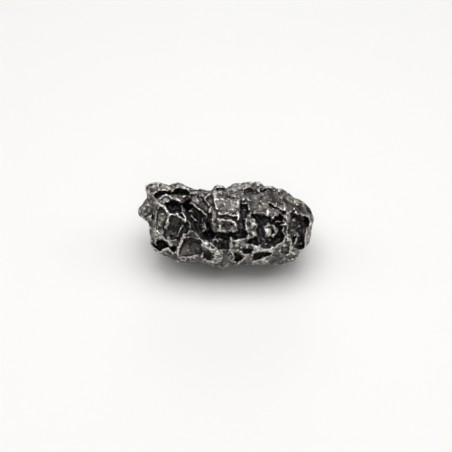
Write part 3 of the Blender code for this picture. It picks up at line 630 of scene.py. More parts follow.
# %% Middle
def shape_middle(side):
    """The valley, the block that stands in it, and the broken ground under it."""
    # Valley from the shelf down to the block's foot, and the shadowed ground round the block
    side.trough([(-8.3, 4.6), (-7.3, 3.2), (-6.4, 1.6), (-5.3, -0.2), (-4.2, -1.5)], 2.2, 4.2, 0.45)
    side.trough([(-4.2, -1.8), (-2.0, -2.1), (1.0, -2.2), (4.0, -1.7)], 1.1, 3.4)
    side.trough([(-3.8, 2.8), (-3.9, 0.8), (-3.4, -1.2)], 0.8, 2.4)
    side.sink([(3.2, 5.0), (4.6, 4.7), (5.0, 3.2), (4.3, 1.8), (4.1, -1.0), (2.8, -1.2), (2.5, 0.6),
        (3.2, 1.6)], 2.8, 0.3)
    side.knob((-5.2, 1.8), (0.5, 1.3), 0.9, -20)
    side.wall([(-7.7, 2.2), (-7.2, 1.8), (-6.7, 1.2)], 0.08, -2.6, 0.18)
    side.peak((4.1, 3.7), [(3.6, 3.5), (4.1, 3.3), (4.5, 3.6), (4.0, 4.1)], 1.4)
    side.peak((4.4, 4.6), [(3.6, 4.6), (4.4, 4.2), (5.2, 4.4), (4.5, 5.0)], 1.2)
    # Grey slab left of the block
    side.face([(-8.0, 7.5), (-5.3, 7.1), (-4.8, 5.6), (-3.7, 4.2), (-4.2, 3.0), (-5.2, 3.1), (-6.4, 4.2),
        (-7.9, 5.2)], 0.2, -0.1, -0.3, 0.3)
    side.wall([(-8.0, 7.4), (-7.2, 7.4), (-6.3, 7.3), (-5.3, 6.9)], 0.12, 0.9, 0.2)
    side.wall([(-7.8, 5.1), (-7.0, 4.7), (-6.0, 3.8), (-5.0, 3.0)], 0.1, 0.5, 0.25)
    side.trough([(-6.4, 6.6), (-5.7, 5.4), (-4.8, 4.2)], 0.3, 0.5)
    side.pit((-6.7, 7.9), (1.3, 0.25), 0.8)
    side.sink([(-5.0, 6.9), (-3.4, 7.9), (-2.9, 6.4), (-2.7, 4.2), (-3.2, 3.6), (-4.2, 5.0)], 1.7, 0.3)
    side.wall([(-4.8, 6.3), (-4.2, 6.8), (-3.5, 7.3), (-3.1, 8.0)], 0.08, -0.2, 0.2)
    side.wall([(-3.7, 3.0), (-3.5, 3.6), (-3.2, 4.2)], 0.12, -0.3, 0.22)
    # Crest behind the block, its slit, and the fold that comes down from it
    side.wall([(-3.1, 8.2), (-2.6, 8.9), (-1.8, 9.15), (-0.6, 9.0), (0.3, 8.6)], 0.3, 0.7, 0.35)
    side.trough([(-2.2, 8.2), (-1.5, 8.5), (-0.8, 8.35), (0.0, 8.2)], 0.28, 1.6)
    side.block([(0.3, 8.6), (1.6, 9.0), (2.4, 8.2), (1.6, 7.4), (0.8, 7.4)], 0.6, 0.4)
    side.wall([(0.1, 8.3), (0.6, 7.5), (1.2, 7.0), (2.2, 6.7), (3.0, 6.5), (3.9, 6.0)], 0.15, 0.9, 0.22)
    side.pit((1.3, 7.25), (0.5, 0.2), 1.2, -30)
    side.pit((3.3, 6.5), (0.7, 0.2), 1.0, -20)
    # Block: a broad bright face under a shallow hollow
    side.block([(-2.6, 7.9), (-0.9, 8.0), (1.0, 6.9), (3.1, 5.9), (3.1, 1.4), (2.3, 0.9), (2.5, -0.5),
        (2.0, -1.3), (-2.0, -1.3), (-2.0, 0.6), (-1.9, 2.9), (-2.2, 4.3), (-2.8, 5.6), (-2.9, 7.0)], 1.9,
        0.3)
    side.face([(-2.4, 6.4), (-0.5, 6.3), (2.9, 5.6), (2.9, 3.1), (-1.7, 3.2), (-1.9, 4.5)], 1.9, 0.0, -0.42,
        0.3)
    side.sink([(-1.7, 7.3), (0.5, 7.0), (2.6, 6.1), (2.2, 5.7), (0.4, 6.2), (-1.2, 6.3)], 0.8, 0.3)
    side.wall([(-2.5, 7.4), (-2.5, 6.2), (-2.2, 5.0), (-2.0, 4.0)], 0.2, 2.1, 0.25)
    side.peak((2.4, 4.4), [(1.5, 3.9), (2.7, 3.8), (2.9, 4.6), (2.3, 5.0)], 0.5)
    side.pit((-0.3, 3.7), (0.9, 0.3), 0.4)
    # Ledge in steps, the notch under it and the lower knob
    side.wall([(-1.5, 2.8), (-0.6, 2.95), (0.5, 2.8)], 0.22, 3.0, 0.2)
    side.wall([(1.0, 2.6), (1.8, 2.35), (2.9, 2.6)], 0.2, 3.0, 0.2)
    side.wall([(2.7, 3.0), (2.8, 2.2), (2.6, 1.5)], 0.2, 2.8, 0.2)
    side.trough([(0.2, 1.8), (1.2, 1.95), (2.2, 1.75)], 0.32, 2.4)
    side.trough([(-1.7, 2.2), (-0.6, 2.1)], 0.2, 0.7)
    side.face([(-1.9, 1.0), (1.3, 1.2), (2.2, 0.6), (2.4, -0.3), (2.0, -1.2), (-1.9, -1.2)], 1.2, 0.0, 0.2,
        0.25)
    side.wall([(-1.6, 1.5), (-0.3, 1.4), (0.9, 1.25), (1.7, 0.8), (2.2, 0.2)], 0.2, 2.9, 0.22)
    side.peak((-1.5, -0.5), [(-1.9, -1.2), (-1.0, -1.2), (-1.0, 0.2), (-1.8, 0.4)], 0.6)
    side.pit((-0.5, 0.1), (0.4, 0.5), 0.9)
    side.pit((1.2, 0.4), (0.5, 0.3), 0.7, -30)
    side.peak((1.3, -0.5), [(0.2, -1.1), (2.0, -1.1), (2.3, -0.2), (1.0, 0.1)], 0.6)
    side.wall([(-3.05, 1.2), (-3.05, 0.2), (-2.5, -1.0)], 0.1, -0.7, 0.2)
    # Star peak and the long slanting crest
    side.peak((-8.0, -0.9), [(-8.05, 0.9), (-7.65, -0.6), (-5.6, -2.8), (-7.8, -1.9), (-9.3, -2.2),
        (-8.4, -0.8)], 3.4)
    side.wall([(-8.7, -2.1), (-7.6, -2.4), (-6.2, -2.8)], 0.16, 0.2, 0.22)
    side.wall([(-9.4, -2.0), (-9.8, -3.0), (-10.3, -4.2), (-10.8, -5.2), (-11.1, -6.2), (-11.2, -7.6)],
        0.26, 0.8, 0.3)
    # Bowls along the foot
    side.face([(-9.3, -3.0), (-7.4, -2.9), (-5.9, -3.4), (-5.5, -4.8), (-5.0, -5.4), (-5.6, -6.5),
        (-8.0, -6.9), (-10.6, -6.9), (-10.2, -5.0)], -2.0, 0.1, 0.05, 0.4)
    side.knob((-8.7, -2.9), (0.9, 0.4), 0.8)
    side.sink([(-5.0, -5.1), (-3.4, -5.9), (-2.8, -7.0), (-3.6, -7.6), (-5.2, -7.2)], 2.2, 0.35)
    side.wall([(-10.9, -7.2), (-9.4, -7.0), (-8.2, -7.2), (-7.2, -6.9), (-6.3, -6.7)], 0.12, 0.2, 0.25)
    side.wall([(-7.2, -6.9), (-6.6, -7.5), (-5.9, -8.0)], 0.1, 0.2, 0.22)
    side.peak((-9.6, -7.6), [(-10.9, -7.9), (-9.2, -8.2), (-8.4, -7.6), (-9.4, -7.2)], 0.5)
    side.sink([(-4.6, -2.8), (-1.5, -3.0), (0.8, -2.7), (0.8, -4.9), (-1.0, -5.0), (-3.0, -4.2)], 2.2, 0.35)
    side.peak((-2.0, -3.5), [(-2.5, -3.7), (-1.9, -4.0), (-1.5, -3.5), (-2.0, -3.1)], 1.2)
    side.peak((-2.9, -3.9), [(-3.3, -4.0), (-2.8, -4.3), (-2.5, -3.9), (-2.9, -3.5)], 1.2)
    side.peak((-1.2, -4.6), [(-1.7, -4.8), (-1.0, -5.0), (-0.7, -4.5), (-1.3, -4.2)], 1.3)
    side.knob((-0.3, -5.4), (0.9, 0.35), 0.9)
    # Chain of knobs between the bowls
    side.wall([(-5.3, -4.1), (-4.5, -4.4), (-3.6, -5.0), (-2.9, -5.6)], 0.22, 0.7, 0.25)
    side.wall([(-3.4, -3.9), (-3.1, -4.5), (-2.6, -5.1)], 0.14, 0.4, 0.2)
    side.block([(-2.9, -5.5), (-2.0, -5.1), (-1.1, -5.7), (-1.0, -6.6), (-1.8, -7.1), (-2.7, -6.7)], 0.6,
        0.3)
    side.peak((-2.0, -6.0), [(-2.7, -6.4), (-1.7, -6.8), (-1.2, -6.0), (-1.9, -5.4), (-2.6, -5.6)], 0.6)
    side.wall([(-1.0, -5.6), (-0.75, -6.3), (-1.1, -7.0), (-1.7, -7.6)], 0.14, 0.6, 0.2)
    side.wall([(-4.7, -7.9), (-3.8, -8.3), (-2.6, -8.2), (-1.6, -7.7)], 0.3, 0.6, 0.3)
    side.pit((-2.8, -7.6), (0.5, 0.25), 0.7)
    side.pit((-0.2, -7.2), (0.5, 1.0), 0.9, 10)
    side.pit((-0.9, -8.8), (0.35, 0.8), 1.0, 35)
    side.peak((0.6, -8.7), [(-0.5, -9.3), (1.5, -8.9), (1.4, -8.3), (0.2, -8.3)], 1.0)
    side.sink([(1.8, -6.0), (3.1, -5.9), (3.9, -6.8), (3.6, -7.9), (2.6, -8.2), (1.8, -7.6), (2.1, -6.9)],
        3.4, 0.25)
    side.pit((1.0, -6.2), (0.45, 0.4), 1.2)
    side.wall([(0.4, -6.1), (0.9, -5.7), (1.5, -5.9), (1.6, -6.5)], 0.1, 0.4, 0.18)
    side.pit((1.35, -7.2), (0.35, 0.3), 1.2)


# %% [markdown]
# ## The blunt end
#
# A smooth shoulder above, knobs among deep holes below it, and a wide hollow at the end.


# %% Blunt end
def shape_right_end(side):
    """The smooth shoulder, the knobs among deep holes, and the hollow end."""
    # Shoulder, with an oval dimple, a low swelling and a gap under a lens-shaped knob
    side.knob((7.2, 9.2), (1.9, 1.0), 0.9)
    side.pit((5.0, 8.0), (1.3, 0.75), 0.9, 5, 0.6)
    side.wall([(3.8, 7.5), (3.9, 8.2), (4.5, 8.7), (5.6, 8.8), (6.4, 8.5)], 0.1, 0.6, 0.22)
    side.wall([(7.3, 9.0), (7.2, 8.0)], 0.12, 1.3, 0.22)
    side.trough([(5.9, 7.25), (6.6, 7.2), (7.3, 7.4)], 0.25, 1.2)
    side.block([(4.3, 6.6), (5.2, 6.9), (6.6, 6.7), (6.9, 6.2), (6.0, 5.7), (4.8, 5.8)], 0.45, 0.3)
    side.trough([(8.1, 7.9), (8.7, 8.15), (9.6, 8.2), (10.4, 8.25)], 0.3, 1.8)
    side.block([(8.5, 8.5), (9.0, 9.1), (10.4, 9.2), (11.1, 8.6), (10.0, 8.4)], 0.7, 0.25)
    side.peak((9.0, 7.0), [(7.6, 6.4), (9.4, 5.9), (10.6, 6.8), (10.0, 7.7), (8.2, 7.6)], 0.3)
    side.peak((11.6, 7.3), [(10.6, 7.0), (11.6, 6.3), (12.4, 7.1), (12.2, 8.2), (11.0, 8.1)], 0.35)
    side.wall([(12.9, 7.1), (12.5, 6.3), (12.5, 5.7), (13.0, 5.0), (13.3, 4.2)], 0.14, 0.5, 0.25)
    side.wall([(12.0, 8.2), (12.6, 7.7)], 0.2, 0.5, 0.25)
    side.peak((11.4, 5.0), [(10.7, 4.9), (11.4, 4.5), (11.9, 4.9), (11.3, 5.5)], 1.0)
    side.wall([(14.4, 6.6), (15.5, 5.6), (17.0, 5.0)], 0.2, 0.3, 0.35)
    side.trough([(13.7, 5.8), (14.6, 5.0), (15.4, 4.6)], 0.4, 0.4)
    # Broken ground in the middle of the side
    side.sink([(5.9, 2.6), (8.0, 2.4), (10.2, 3.0), (12.2, 2.6), (13.4, 0.6), (13.2, -2.0), (12.6, -3.4),
        (10.8, -4.4), (7.6, -4.3), (4.9, -4.0), (5.4, -2.8), (7.0, -2.2), (7.1, 0.6)], 3.0, 0.35)
    side.trough([(9.8, 4.7), (10.6, 4.3), (11.4, 3.95), (12.4, 3.3), (13.4, 3.0)], 0.32, 2.2)
    side.pit((12.9, 2.9), (0.7, 0.4), 1.6, -20)
    side.pit((12.0, -1.9), (0.7, 1.1), 0.8)
    side.pit((9.0, -4.6), (1.6, 0.5), 1.6, -5)
    # Knobs that stand up between the holes, each with flat sides
    side.block([(8.2, 3.6), (9.2, 4.4), (10.5, 4.0), (11.8, 3.5), (12.3, 2.9), (12.0, 2.2), (11.0, 1.7),
        (10.1, 0.9), (10.0, 2.0), (8.8, 2.1)], 0.0, 0.3)
    side.peak((9.4, 3.5), [(8.3, 3.3), (8.9, 2.1), (10.1, 2.2), (10.6, 3.5), (9.3, 4.4)], 0.6)
    side.peak((11.2, 2.8), [(10.2, 1.0), (11.9, 2.0), (12.3, 2.9), (11.4, 3.6), (10.5, 3.3)], 0.9)
    side.peak((8.4, 2.8), [(7.7, 1.3), (8.4, 2.1), (8.9, 2.8), (8.2, 3.3), (6.5, 3.0), (7.4, 2.5)], 3.2)
    side.block([(13.2, 2.8), (14.0, 2.3), (14.1, 1.0), (13.6, 0.0), (12.6, -0.2), (12.1, 0.3), (12.6, 0.8),
        (11.0, 0.8), (10.9, 1.2), (12.4, 1.3), (12.9, 1.7)], 0.2, 0.25)
    side.peak((13.4, 1.7), [(13.0, 1.1), (13.9, 0.8), (14.1, 1.8), (13.4, 2.8), (12.9, 1.9)], 0.9)
    side.peak((13.1, 0.3), [(12.3, 0.2), (13.0, -0.3), (13.8, 0.2), (13.4, 0.7)], 0.5)
    side.pit((12.8, 0.65), (0.35, 0.18), 1.0)
    side.block([(8.5, 0.2), (9.3, 0.6), (10.3, 0.4), (10.5, -0.8), (10.3, -2.3), (8.7, -2.5), (8.4, -1.2)],
        0.0, 0.3)
    side.peak((9.7, 0.25), [(8.6, -0.2), (9.6, -0.3), (10.4, -0.1), (10.2, 0.6), (9.3, 0.6)], 0.8)
    side.peak((9.3, -1.2), [(8.5, -2.3), (10.3, -2.2), (10.2, -0.4), (8.6, -0.4)], 0.6)
    side.pit((9.8, -0.2), (0.3, 0.18), 0.9)
    side.wall([(10.6, 0.0), (11.2, -0.8), (11.1, -1.6), (10.5, -2.3)], 0.2, 0.0, 0.22)
    side.block([(5.5, 1.1), (6.1, 1.4), (7.0, 0.5), (6.7, -0.6), (5.9, -0.7), (5.2, -0.3)], 0.3, 0.3)
    side.peak((6.0, 0.5), [(5.3, -0.3), (6.2, -0.7), (7.0, 0.3), (6.1, 1.4), (5.4, 0.9)], 0.9)
    side.peak((5.3, 2.6), [(4.8, 2.0), (5.8, 1.9), (5.9, 2.8), (5.2, 3.2)], 1.3)
    side.block([(4.0, 1.8), (5.2, 1.7), (5.3, 0.0), (4.5, -0.5)], -0.6, 0.3)
    side.peak((4.6, 1.2), [(4.1, 0.8), (4.9, 0.2), (5.2, 1.3), (4.5, 1.8)], 0.6)
    side.block([(5.1, -0.8), (6.6, -0.7), (7.1, -1.8), (5.8, -2.8), (4.4, -3.3), (4.2, -2.7), (4.9, -1.9)],
        0.1, 0.3)
    side.peak((6.2, -1.6), [(5.2, -1.7), (6.0, -2.6), (7.0, -1.9), (6.5, -1.0)], 0.5)
    side.peak((5.0, -2.5), [(4.3, -3.1), (5.4, -2.8), (5.6, -2.0), (4.8, -2.0)], 0.5)
    side.pit((5.8, -1.0), (0.45, 0.25), 1.2, 20)
    side.block([(0.9, -2.6), (1.5, -3.3), (2.4, -3.1), (3.9, -2.8), (4.3, -4.0), (3.6, -5.2), (2.2, -5.7),
        (1.0, -5.5)], 0.4, 0.25)
    side.wall([(1.05, -2.7), (1.15, -3.6), (1.05, -4.6)], 0.14, 0.9, 0.2)
    side.wall([(0.9, -5.35), (1.8, -5.5), (2.7, -5.55)], 0.12, 0.8, 0.2)
    side.pit((2.2, -3.0), (0.45, 0.3), 1.0)
    side.pit((4.6, -3.9), (0.3, 0.4), 1.2)
    side.peak((2.4, -4.4), [(1.3, -5.1), (3.4, -5.2), (4.0, -3.8), (3.2, -3.2), (1.5, -3.6)], 0.4)
    # Hollow end with its rim
    side.sink([(14.3, 1.9), (14.8, 2.9), (16.2, 2.4), (18.3, 1.8), (18.8, 0.6), (17.8, -1.2), (17.4, -4.9),
        (16.4, -5.2), (15.0, -4.2), (14.8, -2.4), (14.1, -1.2), (14.2, 0.4)], 3.3, 0.35)
    side.knob((15.2, 1.5), (0.9, 0.9), 1.2)
    side.peak((17.4, 1.6), [(16.8, 1.4), (17.6, 1.2), (18.3, 1.7), (17.3, 2.0)], 1.4)
    side.peak((17.0, -4.0), [(16.4, -4.4), (17.1, -4.6), (17.4, -3.8), (16.8, -3.5)], 1.2)
    side.wall([(15.4, -2.2), (15.9, -1.7), (16.2, -2.2), (15.8, -3.0), (15.4, -4.0)], 0.08, -0.9, 0.18)
    side.wall([(12.9, -0.5), (12.8, -1.3), (13.2, -2.0)], 0.1, -0.5, 0.2)
    side.block([(13.4, -2.2), (14.1, -2.1), (14.5, -3.0), (14.0, -4.2), (13.4, -3.9), (13.2, -3.0)], -0.2,
        0.3)
    side.peak((13.9, -2.9), [(13.3, -3.4), (14.0, -4.1), (14.5, -3.0), (14.0, -2.2)], 0.6)
    side.wall([(15.6, 3.9), (15.8, 3.4), (16.2, 3.1), (16.9, 3.1)], 0.12, 0.6, 0.2)
    side.wall([(16.2, 2.8), (17.0, 2.6), (17.8, 2.7), (18.5, 2.4)], 0.18, 0.7, 0.25)
    side.pit((16.6, 2.25), (0.5, 0.2), 1.0)
    side.pit((17.0, 4.1), (0.6, 0.25), 1.3, -25)
    side.pit((15.2, 3.2), (0.6, 0.4), 0.9)
    side.block([(18.2, -0.6), (19.3, -0.8), (19.3, -3.0), (18.2, -5.2), (17.5, -4.8), (17.5, -3.0),
        (17.7, -1.8)], 0.4, 0.25)
    # Foot
    side.sink([(4.0, -5.2), (5.9, -5.1), (5.9, -6.0), (4.7, -6.4), (3.6, -6.0)], 1.2, 0.25)
    side.wall([(3.4, -5.9), (3.9, -6.4), (4.7, -6.7), (5.5, -6.4), (6.2, -5.8), (7.2, -5.3), (7.6, -4.6)],
        0.18, 0.6, 0.25)
    side.wall([(3.2, -8.2), (4.1, -7.7), (4.8, -7.0)], 0.22, 0.6, 0.25)
    side.wall([(4.6, -4.2), (5.6, -4.3), (6.6, -4.6)], 0.14, 0.3, 0.25)
    side.peak((6.2, -5.0), [(5.4, -5.3), (6.4, -5.5), (7.2, -5.0), (6.4, -4.6)], 0.7)
    side.face([(5.5, -7.9), (6.4, -6.4), (8.4, -5.9), (10.6, -6.1), (9.0, -7.0), (6.6, -7.9)], -0.6, 0.0,
        0.1, 0.3)
    side.wall([(7.8, -5.5), (9.0, -5.4), (10.2, -5.5), (11.3, -6.1)], 0.16, 0.4, 0.25)
    side.wall([(6.2, -8.3), (8.0, -7.7), (9.5, -7.1), (11.0, -6.4)], 0.22, 0.4, 0.35)
    side.peak((9.0, -4.2), [(8.5, -4.3), (9.1, -4.5), (9.4, -4.1), (9.0, -3.9)], 1.2)
    side.block([(11.1, -3.9), (12.2, -3.9), (12.4, -4.9), (12.0, -5.8), (11.0, -5.6), (10.7, -4.7)], 0.3,
        0.3)
    side.peak((11.4, -4.6), [(10.8, -4.9), (11.6, -5.2), (12.1, -4.5), (11.4, -4.0)], 0.5)
    side.wall([(12.3, -4.8), (12.3, -5.6), (12.8, -6.1)], 0.12, 0.3, 0.22)
    side.sink([(12.6, -4.8), (13.9, -4.8), (14.2, -5.9), (13.0, -6.5), (12.4, -5.8)], 1.4, 0.25)
    side.block([(14.3, -4.6), (15.4, -4.9), (16.0, -6.0), (15.4, -6.6), (14.6, -6.0)], 0.4, 0.3)
    side.wall([(14.5, -4.9), (14.6, -5.8), (15.2, -6.3)], 0.12, 0.8, 0.2)
    side.pit((15.0, -5.4), (0.3, 0.3), 0.8)
    side.peak((12.9, -7.3), [(12.1, -7.6), (13.1, -7.9), (13.7, -7.3), (12.8, -6.7)], 0.7)
    side.pit((13.9, -6.9), (0.5, 0.4), 0.8)
    side.peak((14.9, -7.5), [(14.0, -7.8), (15.2, -8.0), (15.7, -7.3), (14.8, -7.0)], 0.7)
    side.pit((12.2, -8.0), (0.5, 0.25), 0.6)
    side.peak((15.8, -7.0), [(15.2, -7.1), (16.0, -7.5), (16.4, -6.9), (15.8, -6.5)], 0.7)


# %% [markdown]
# ## Shape the known side
#
# All of it is set down in one go on the points that the eye sees. A little noise in the
# places keeps the edges from looking drawn with a compass.


# %% Shape the seen side
def shape_seen_side(points):
    """Shape the side that is described from the eye point."""
    share = 1.0 - fade(to_view(points)[2], -1.5, 1.5)
    seen = share > 0.0
    across, up, out = to_view(points[seen])
    waver = WAVER * field_noise(points[seen], WAVER_SIZE, 3, 3.0)
    waver_up = WAVER * field_noise(points[seen], WAVER_SIZE, 3, 47.0)
    side = Relief(across + waver, up + waver_up, out)
    shape_left_end(side)
    shape_middle(side)
    shape_right_end(side)
    shaped = points.copy()
    shaped[seen] = from_view(across, up, out + share[seen] * (side.out - out))
    return shaped


write_points(stone.data, shape_seen_side(read_points(stone.data)))
remesh(stone, VOXEL)
relax(stone, 0.5, 1)
print("the shaped stone has", len(stone.data.vertices), "points")


# %% [markdown]
# ## Fine surface
#
# Close up, the metal is broken into small flat faces, each tilted its own way, with a
# grain like coarse sandpaper on them. Voronoi noise gives the faces: it names the nearest
# cell for every point, and each cell gets a tilt of its own, drawn from noise at its
# middle. This could be bump in the material, but real relief also catches the light along
# its edges.


# %% Small faces and grain
FACET_SIZE = 1.0
FACET_TILT = 0.30
GRAIN_SIZE = 0.35
GRAIN_HEIGHT = 0.04
FACET_BORDER = 0.35


def tilt_facets(points, normals, size, tilt, offset):
    """Break the skin into cells of the given size, each tilted its own way."""
    shift = Vector((offset, 2.0 * offset, -offset))
    lift = np.empty(len(points))
    for index, point in enumerate(points):
        place = Vector(point) / size + shift
        gaps, middles = noise.voronoi(place)
        lean = noise.cell_vector(middles[0] * 7.0)
        from_border = min(1.0, (gaps[1] - gaps[0]) / FACET_BORDER)
        lift[index] = tilt * size * from_border * (lean.dot(place - middles[0]) - 0.25 * abs(lean.x))
    return points + normals * lift[:, None]


points = read_points(stone.data)
points = tilt_facets(points, read_normals(stone.data), FACET_SIZE, FACET_TILT, 4.0)
write_points(stone.data, points)
grain = GRAIN_HEIGHT * field_noise(points, GRAIN_SIZE, 2, 71.0)
write_points(stone.data, points + read_normals(stone.data) * grain[:, None])
print("faces of", FACET_SIZE, "mm and grain of", GRAIN_SIZE, "mm")


# %% [markdown]
# ## The flat and the final mesh
#
# The foot is cut flat and the stone is set down on the table, in the middle of the
# solid's box. Decimate then takes faces away where the skin is nearly flat and keeps
# them on the crests.


# %% Set the stone down
TRIANGLES = 190000

# Points this near the cut, in millimetres, are moved onto it, so that no sliver is left
SNAP = 0.04


def set_down(stone):
    """Cut the flat that the stone lies on, move the stone to the frame, and return that move."""
    points = read_points(stone.data)
    level = points[:, 2].min() + FOOT_CUT
    middle = 0.5 * (points.min(axis=0) + points.max(axis=0))
    wanted = 0.5 * (np.array(cad_low) + np.array(cad_high)) / MM
    move = np.array([wanted[0] - middle[0], wanted[1] - middle[1], -level])
    points += move
    points[:, 2] = np.where(np.abs(points[:, 2]) < SNAP, 0.0, points[:, 2])
    write_points(stone.data, points)
    shape = bmesh.new()
    shape.from_mesh(stone.data)
    everything = shape.verts[:] + shape.edges[:] + shape.faces[:]
    cut = bmesh.ops.bisect_plane(
        shape, geom=everything, dist=0.001 * MM, plane_co=(0, 0, 0), plane_no=(0, 0, 1), clear_inner=True
    )
    rim = [item for item in cut["geom_cut"] if isinstance(item, bmesh.types.BMEdge)]
    bmesh.ops.contextual_create(shape, geom=rim)
    bmesh.ops.triangulate(shape, faces=shape.faces[:])
    shape.to_mesh(stone.data)
    shape.free()
    return move


thin = stone.modifiers.new("thin", "DECIMATE")
thin.ratio = min(1.0, TRIANGLES / (2 * len(stone.data.polygons)))
settle(stone)
move = set_down(stone)
stone.data.shade_smooth()
print("moved by, in mm:", move.round(2), "and has", len(stone.data.polygons), "triangles")


# %% [markdown]
# ## Where it is worn and where it is sheltered
#
# Wear, rust and painted shade follow the shape. Handling rubs the crests bright, black
# rust stays where nothing reaches, and the same hollows get painted shade. Two numbers on
# each point say so. The first compares the point with the average of its neighbours: it is
# high on a crest. The second casts rays from the point and counts how many hit the stone
# itself: it is high in a hollow, and it darkens the colour there as black rust and painted
# shade. Both are kept on the mesh as attributes, so they belong to the stone and not to the view.


# %% Wear and shelter
SHELTER_REACH = 7.0
RAYS = 20
RAY_LIFT = 0.03


def neighbour_mean(values, edges, repeats):
    """Average each point's value with its neighbours', again and again."""
    total = len(values)
    ends = np.concatenate([edges[:, 0], edges[:, 1]])
    others = np.concatenate([edges[:, 1], edges[:, 0]])
    count = np.bincount(ends, minlength=total)[:, None]
    for _ in range(repeats):
        summed = np.stack([np.bincount(ends, values[others, i], total) for i in range(3)], axis=1)
        values = 0.5 * values + 0.5 * summed / count
    return values


def crest_height(mesh, repeats):
    """How far each point stands above the skin around it, in millimetres."""
    edges = np.empty(2 * len(mesh.edges), dtype=np.int32)
    mesh.edges.foreach_get("vertices", edges)
    points = read_points(mesh)
    smooth = neighbour_mean(points, edges.reshape(-1, 2), repeats)
    return np.einsum("ij,ij->i", points - smooth, read_normals(mesh))


def shelter(mesh, reach, rays):
    """The share of rays from each point that hit the stone within reach."""
    tree = BVHTree.FromPolygons([v.co for v in mesh.vertices], [f.vertices for f in mesh.polygons])
    golden = math.pi * (3.0 - math.sqrt(5.0))
    heights = [1.0 - (2.0 * i + 1.0) / rays for i in range(rays)]
    aims = [
        Vector((math.cos(i * golden) * math.sqrt(1 - h * h), math.sin(i * golden) * math.sqrt(1 - h * h), h))
        for i, h in enumerate(heights)
    ]
    hidden = np.empty(len(mesh.vertices))
    for index, vertex in enumerate(mesh.vertices):
        normal = vertex.normal
        start = vertex.co + normal * RAY_LIFT * MM
        met = weight = 0.0
        for aim in aims:
            facing = aim.dot(normal)
            if facing > 0.1:
                weight += facing
                if tree.ray_cast(start, aim, reach * MM)[0]:
                    met += facing
        hidden[index] = met / weight if weight else 1.0
    return hidden


def keep_attribute(mesh, name, values):
    """Keep one number a point on the mesh, where a material can read it."""
    attribute = mesh.attributes.new(name, "FLOAT", "POINT")
    attribute.data.foreach_set("value", values.astype(np.float32))


fine_crest = crest_height(stone.data, 6)
broad_crest = crest_height(stone.data, 60)
# The share of blocked rays; the material turns it into black rust and painted shade
sheltered = shelter(stone.data, SHELTER_REACH, RAYS)
keep_attribute(stone.data, "fine_crest", fine_crest)
keep_attribute(stone.data, "broad_crest", broad_crest)
keep_attribute(stone.data, "shelter", sheltered)
print("fine crests", np.percentile(fine_crest, [5, 50, 95]).round(3))
print("broad crests", np.percentile(broad_crest, [5, 50, 95]).round(3))
print("shelter", np.percentile(sheltered, [5, 50, 95]).round(3))


# %% [markdown]
# ## Nodes and colours
#
# Colours are picked as they look on a screen, as hex values, and one function turns them
# to the linear values that the shader works in. One more function adds a node, with its
# settings and links.


# %% Two helpers for materials


def linear(code):
    """A colour given as sRGB hex, in linear values with full alpha."""
    parts = [int(code[i:i + 2], 16) / 255.0 for i in (1, 3, 5)]
    return tuple(c / 12.92 if c <= 0.04045 else ((c + 0.055) / 1.055) ** 2.4 for c in parts) + (1.0,)


def add_node(tree, kind, inputs, **settings):
    """Add a node, set its properties, and fill its inputs with values or with other nodes' outputs."""
    node = tree.nodes.new(kind)
    for name, value in settings.items():
        setattr(node, name, value)
    for name, value in inputs.items():
        if isinstance(value, bpy.types.NodeSocket):
            tree.links.new(value, node.inputs[name])
        else:
            node.inputs[name].default_value = value
    return node


# %% [markdown]
# ## Weathered iron
#
# The metal is nickel iron with a thin skin of black and brown rust. Real iron has a base
# colour near #c4c0ba and a metallic value of 1. The rust skin is darker and only partly
# a metal. The eye reads three things: bright worn crests, a dark satin grey between
# them, and hollows that are nearly black, a little towards purple: black rust with painted
# shade in its colour. Metallic and roughness change with the wear as the colour does.


# %% Material: weathered nickel iron with painted shade
# Worn metal shines where it was rubbed. The satin and the dark skin are thin rust in
# patches, and the black of the hollows is black rust with painted shade, so it gives back hardly any light.
WORN_METAL = "#d8d4cd"
SATIN_SKIN = "#77736f"
DARK_SKIN = "#3d3a3a"
# Black rust and painted shade: the colour laid where rays from the surface hit the stone
BLACK_RUST_AND_SHADE = "#17131a"

# Sizes of the patterns in millimetres. Real rust has a grain of a few hundredths of a
# millimetre. That is finer than a pixel of the picture, so the grit is drawn at one pixel.
SKIN_PATCHES = 2.4
MOTTLE = 0.9
POLISH = 0.5
GRIT = 0.22
GRIT_HEIGHT = 0.05
GRIT_STRENGTH = 0.35
NOISE_ROUGHNESS = 0.6

# Where each look starts and where it is full: crest heights in millimetres, the share of
# blocked rays, and values of the noise
FINE_WORN = (0.02, 0.08)
BROAD_WORN = (0.10, 0.35)
SHELTERED = (0.30, 0.75)
MOTTLE_SPAN = (0.35, 0.62)
SKIN_SPAN = (0.40, 0.62)
POLISH_SPAN = (0.3, 0.7)

# What some of them lead to: the least and the most wear left by the mottle, metallic in the
# open and in the hollows, and the smoothest and the roughest skin
MOTTLE_WEAR = (0.25, 1.0)
METALLIC = (0.9, 0.3)
ROUGHNESS = (0.34, 0.56)
WHOLE = (0.0, 1.0)

iron = bpy.data.materials.new("weathered_iron_with_painted_shade")
iron.use_nodes = True
tree = iron.node_tree
shader = tree.nodes["Principled BSDF"]
place = add_node(tree, "ShaderNodeTexCoord", {}).outputs["Object"]

# The numbers kept on the mesh, and one noise for each size of pattern
signals = {}
for name in ("fine_crest", "broad_crest", "shelter"):
    signals[name] = add_node(tree, "ShaderNodeAttribute", {}, attribute_name=name).outputs["Fac"]
for name, size, detail in (
    ("skin", SKIN_PATCHES, 3.0), ("mottle", MOTTLE, 3.0), ("polish", POLISH, 3.0), ("grit", GRIT, 2.0)
):
    look = {"Vector": place, "Scale": 1.0 / (size * MM), "Detail": detail, "Roughness": NOISE_ROUGHNESS}
    signals[name] = add_node(tree, "ShaderNodeTexNoise", look).outputs["Fac"]
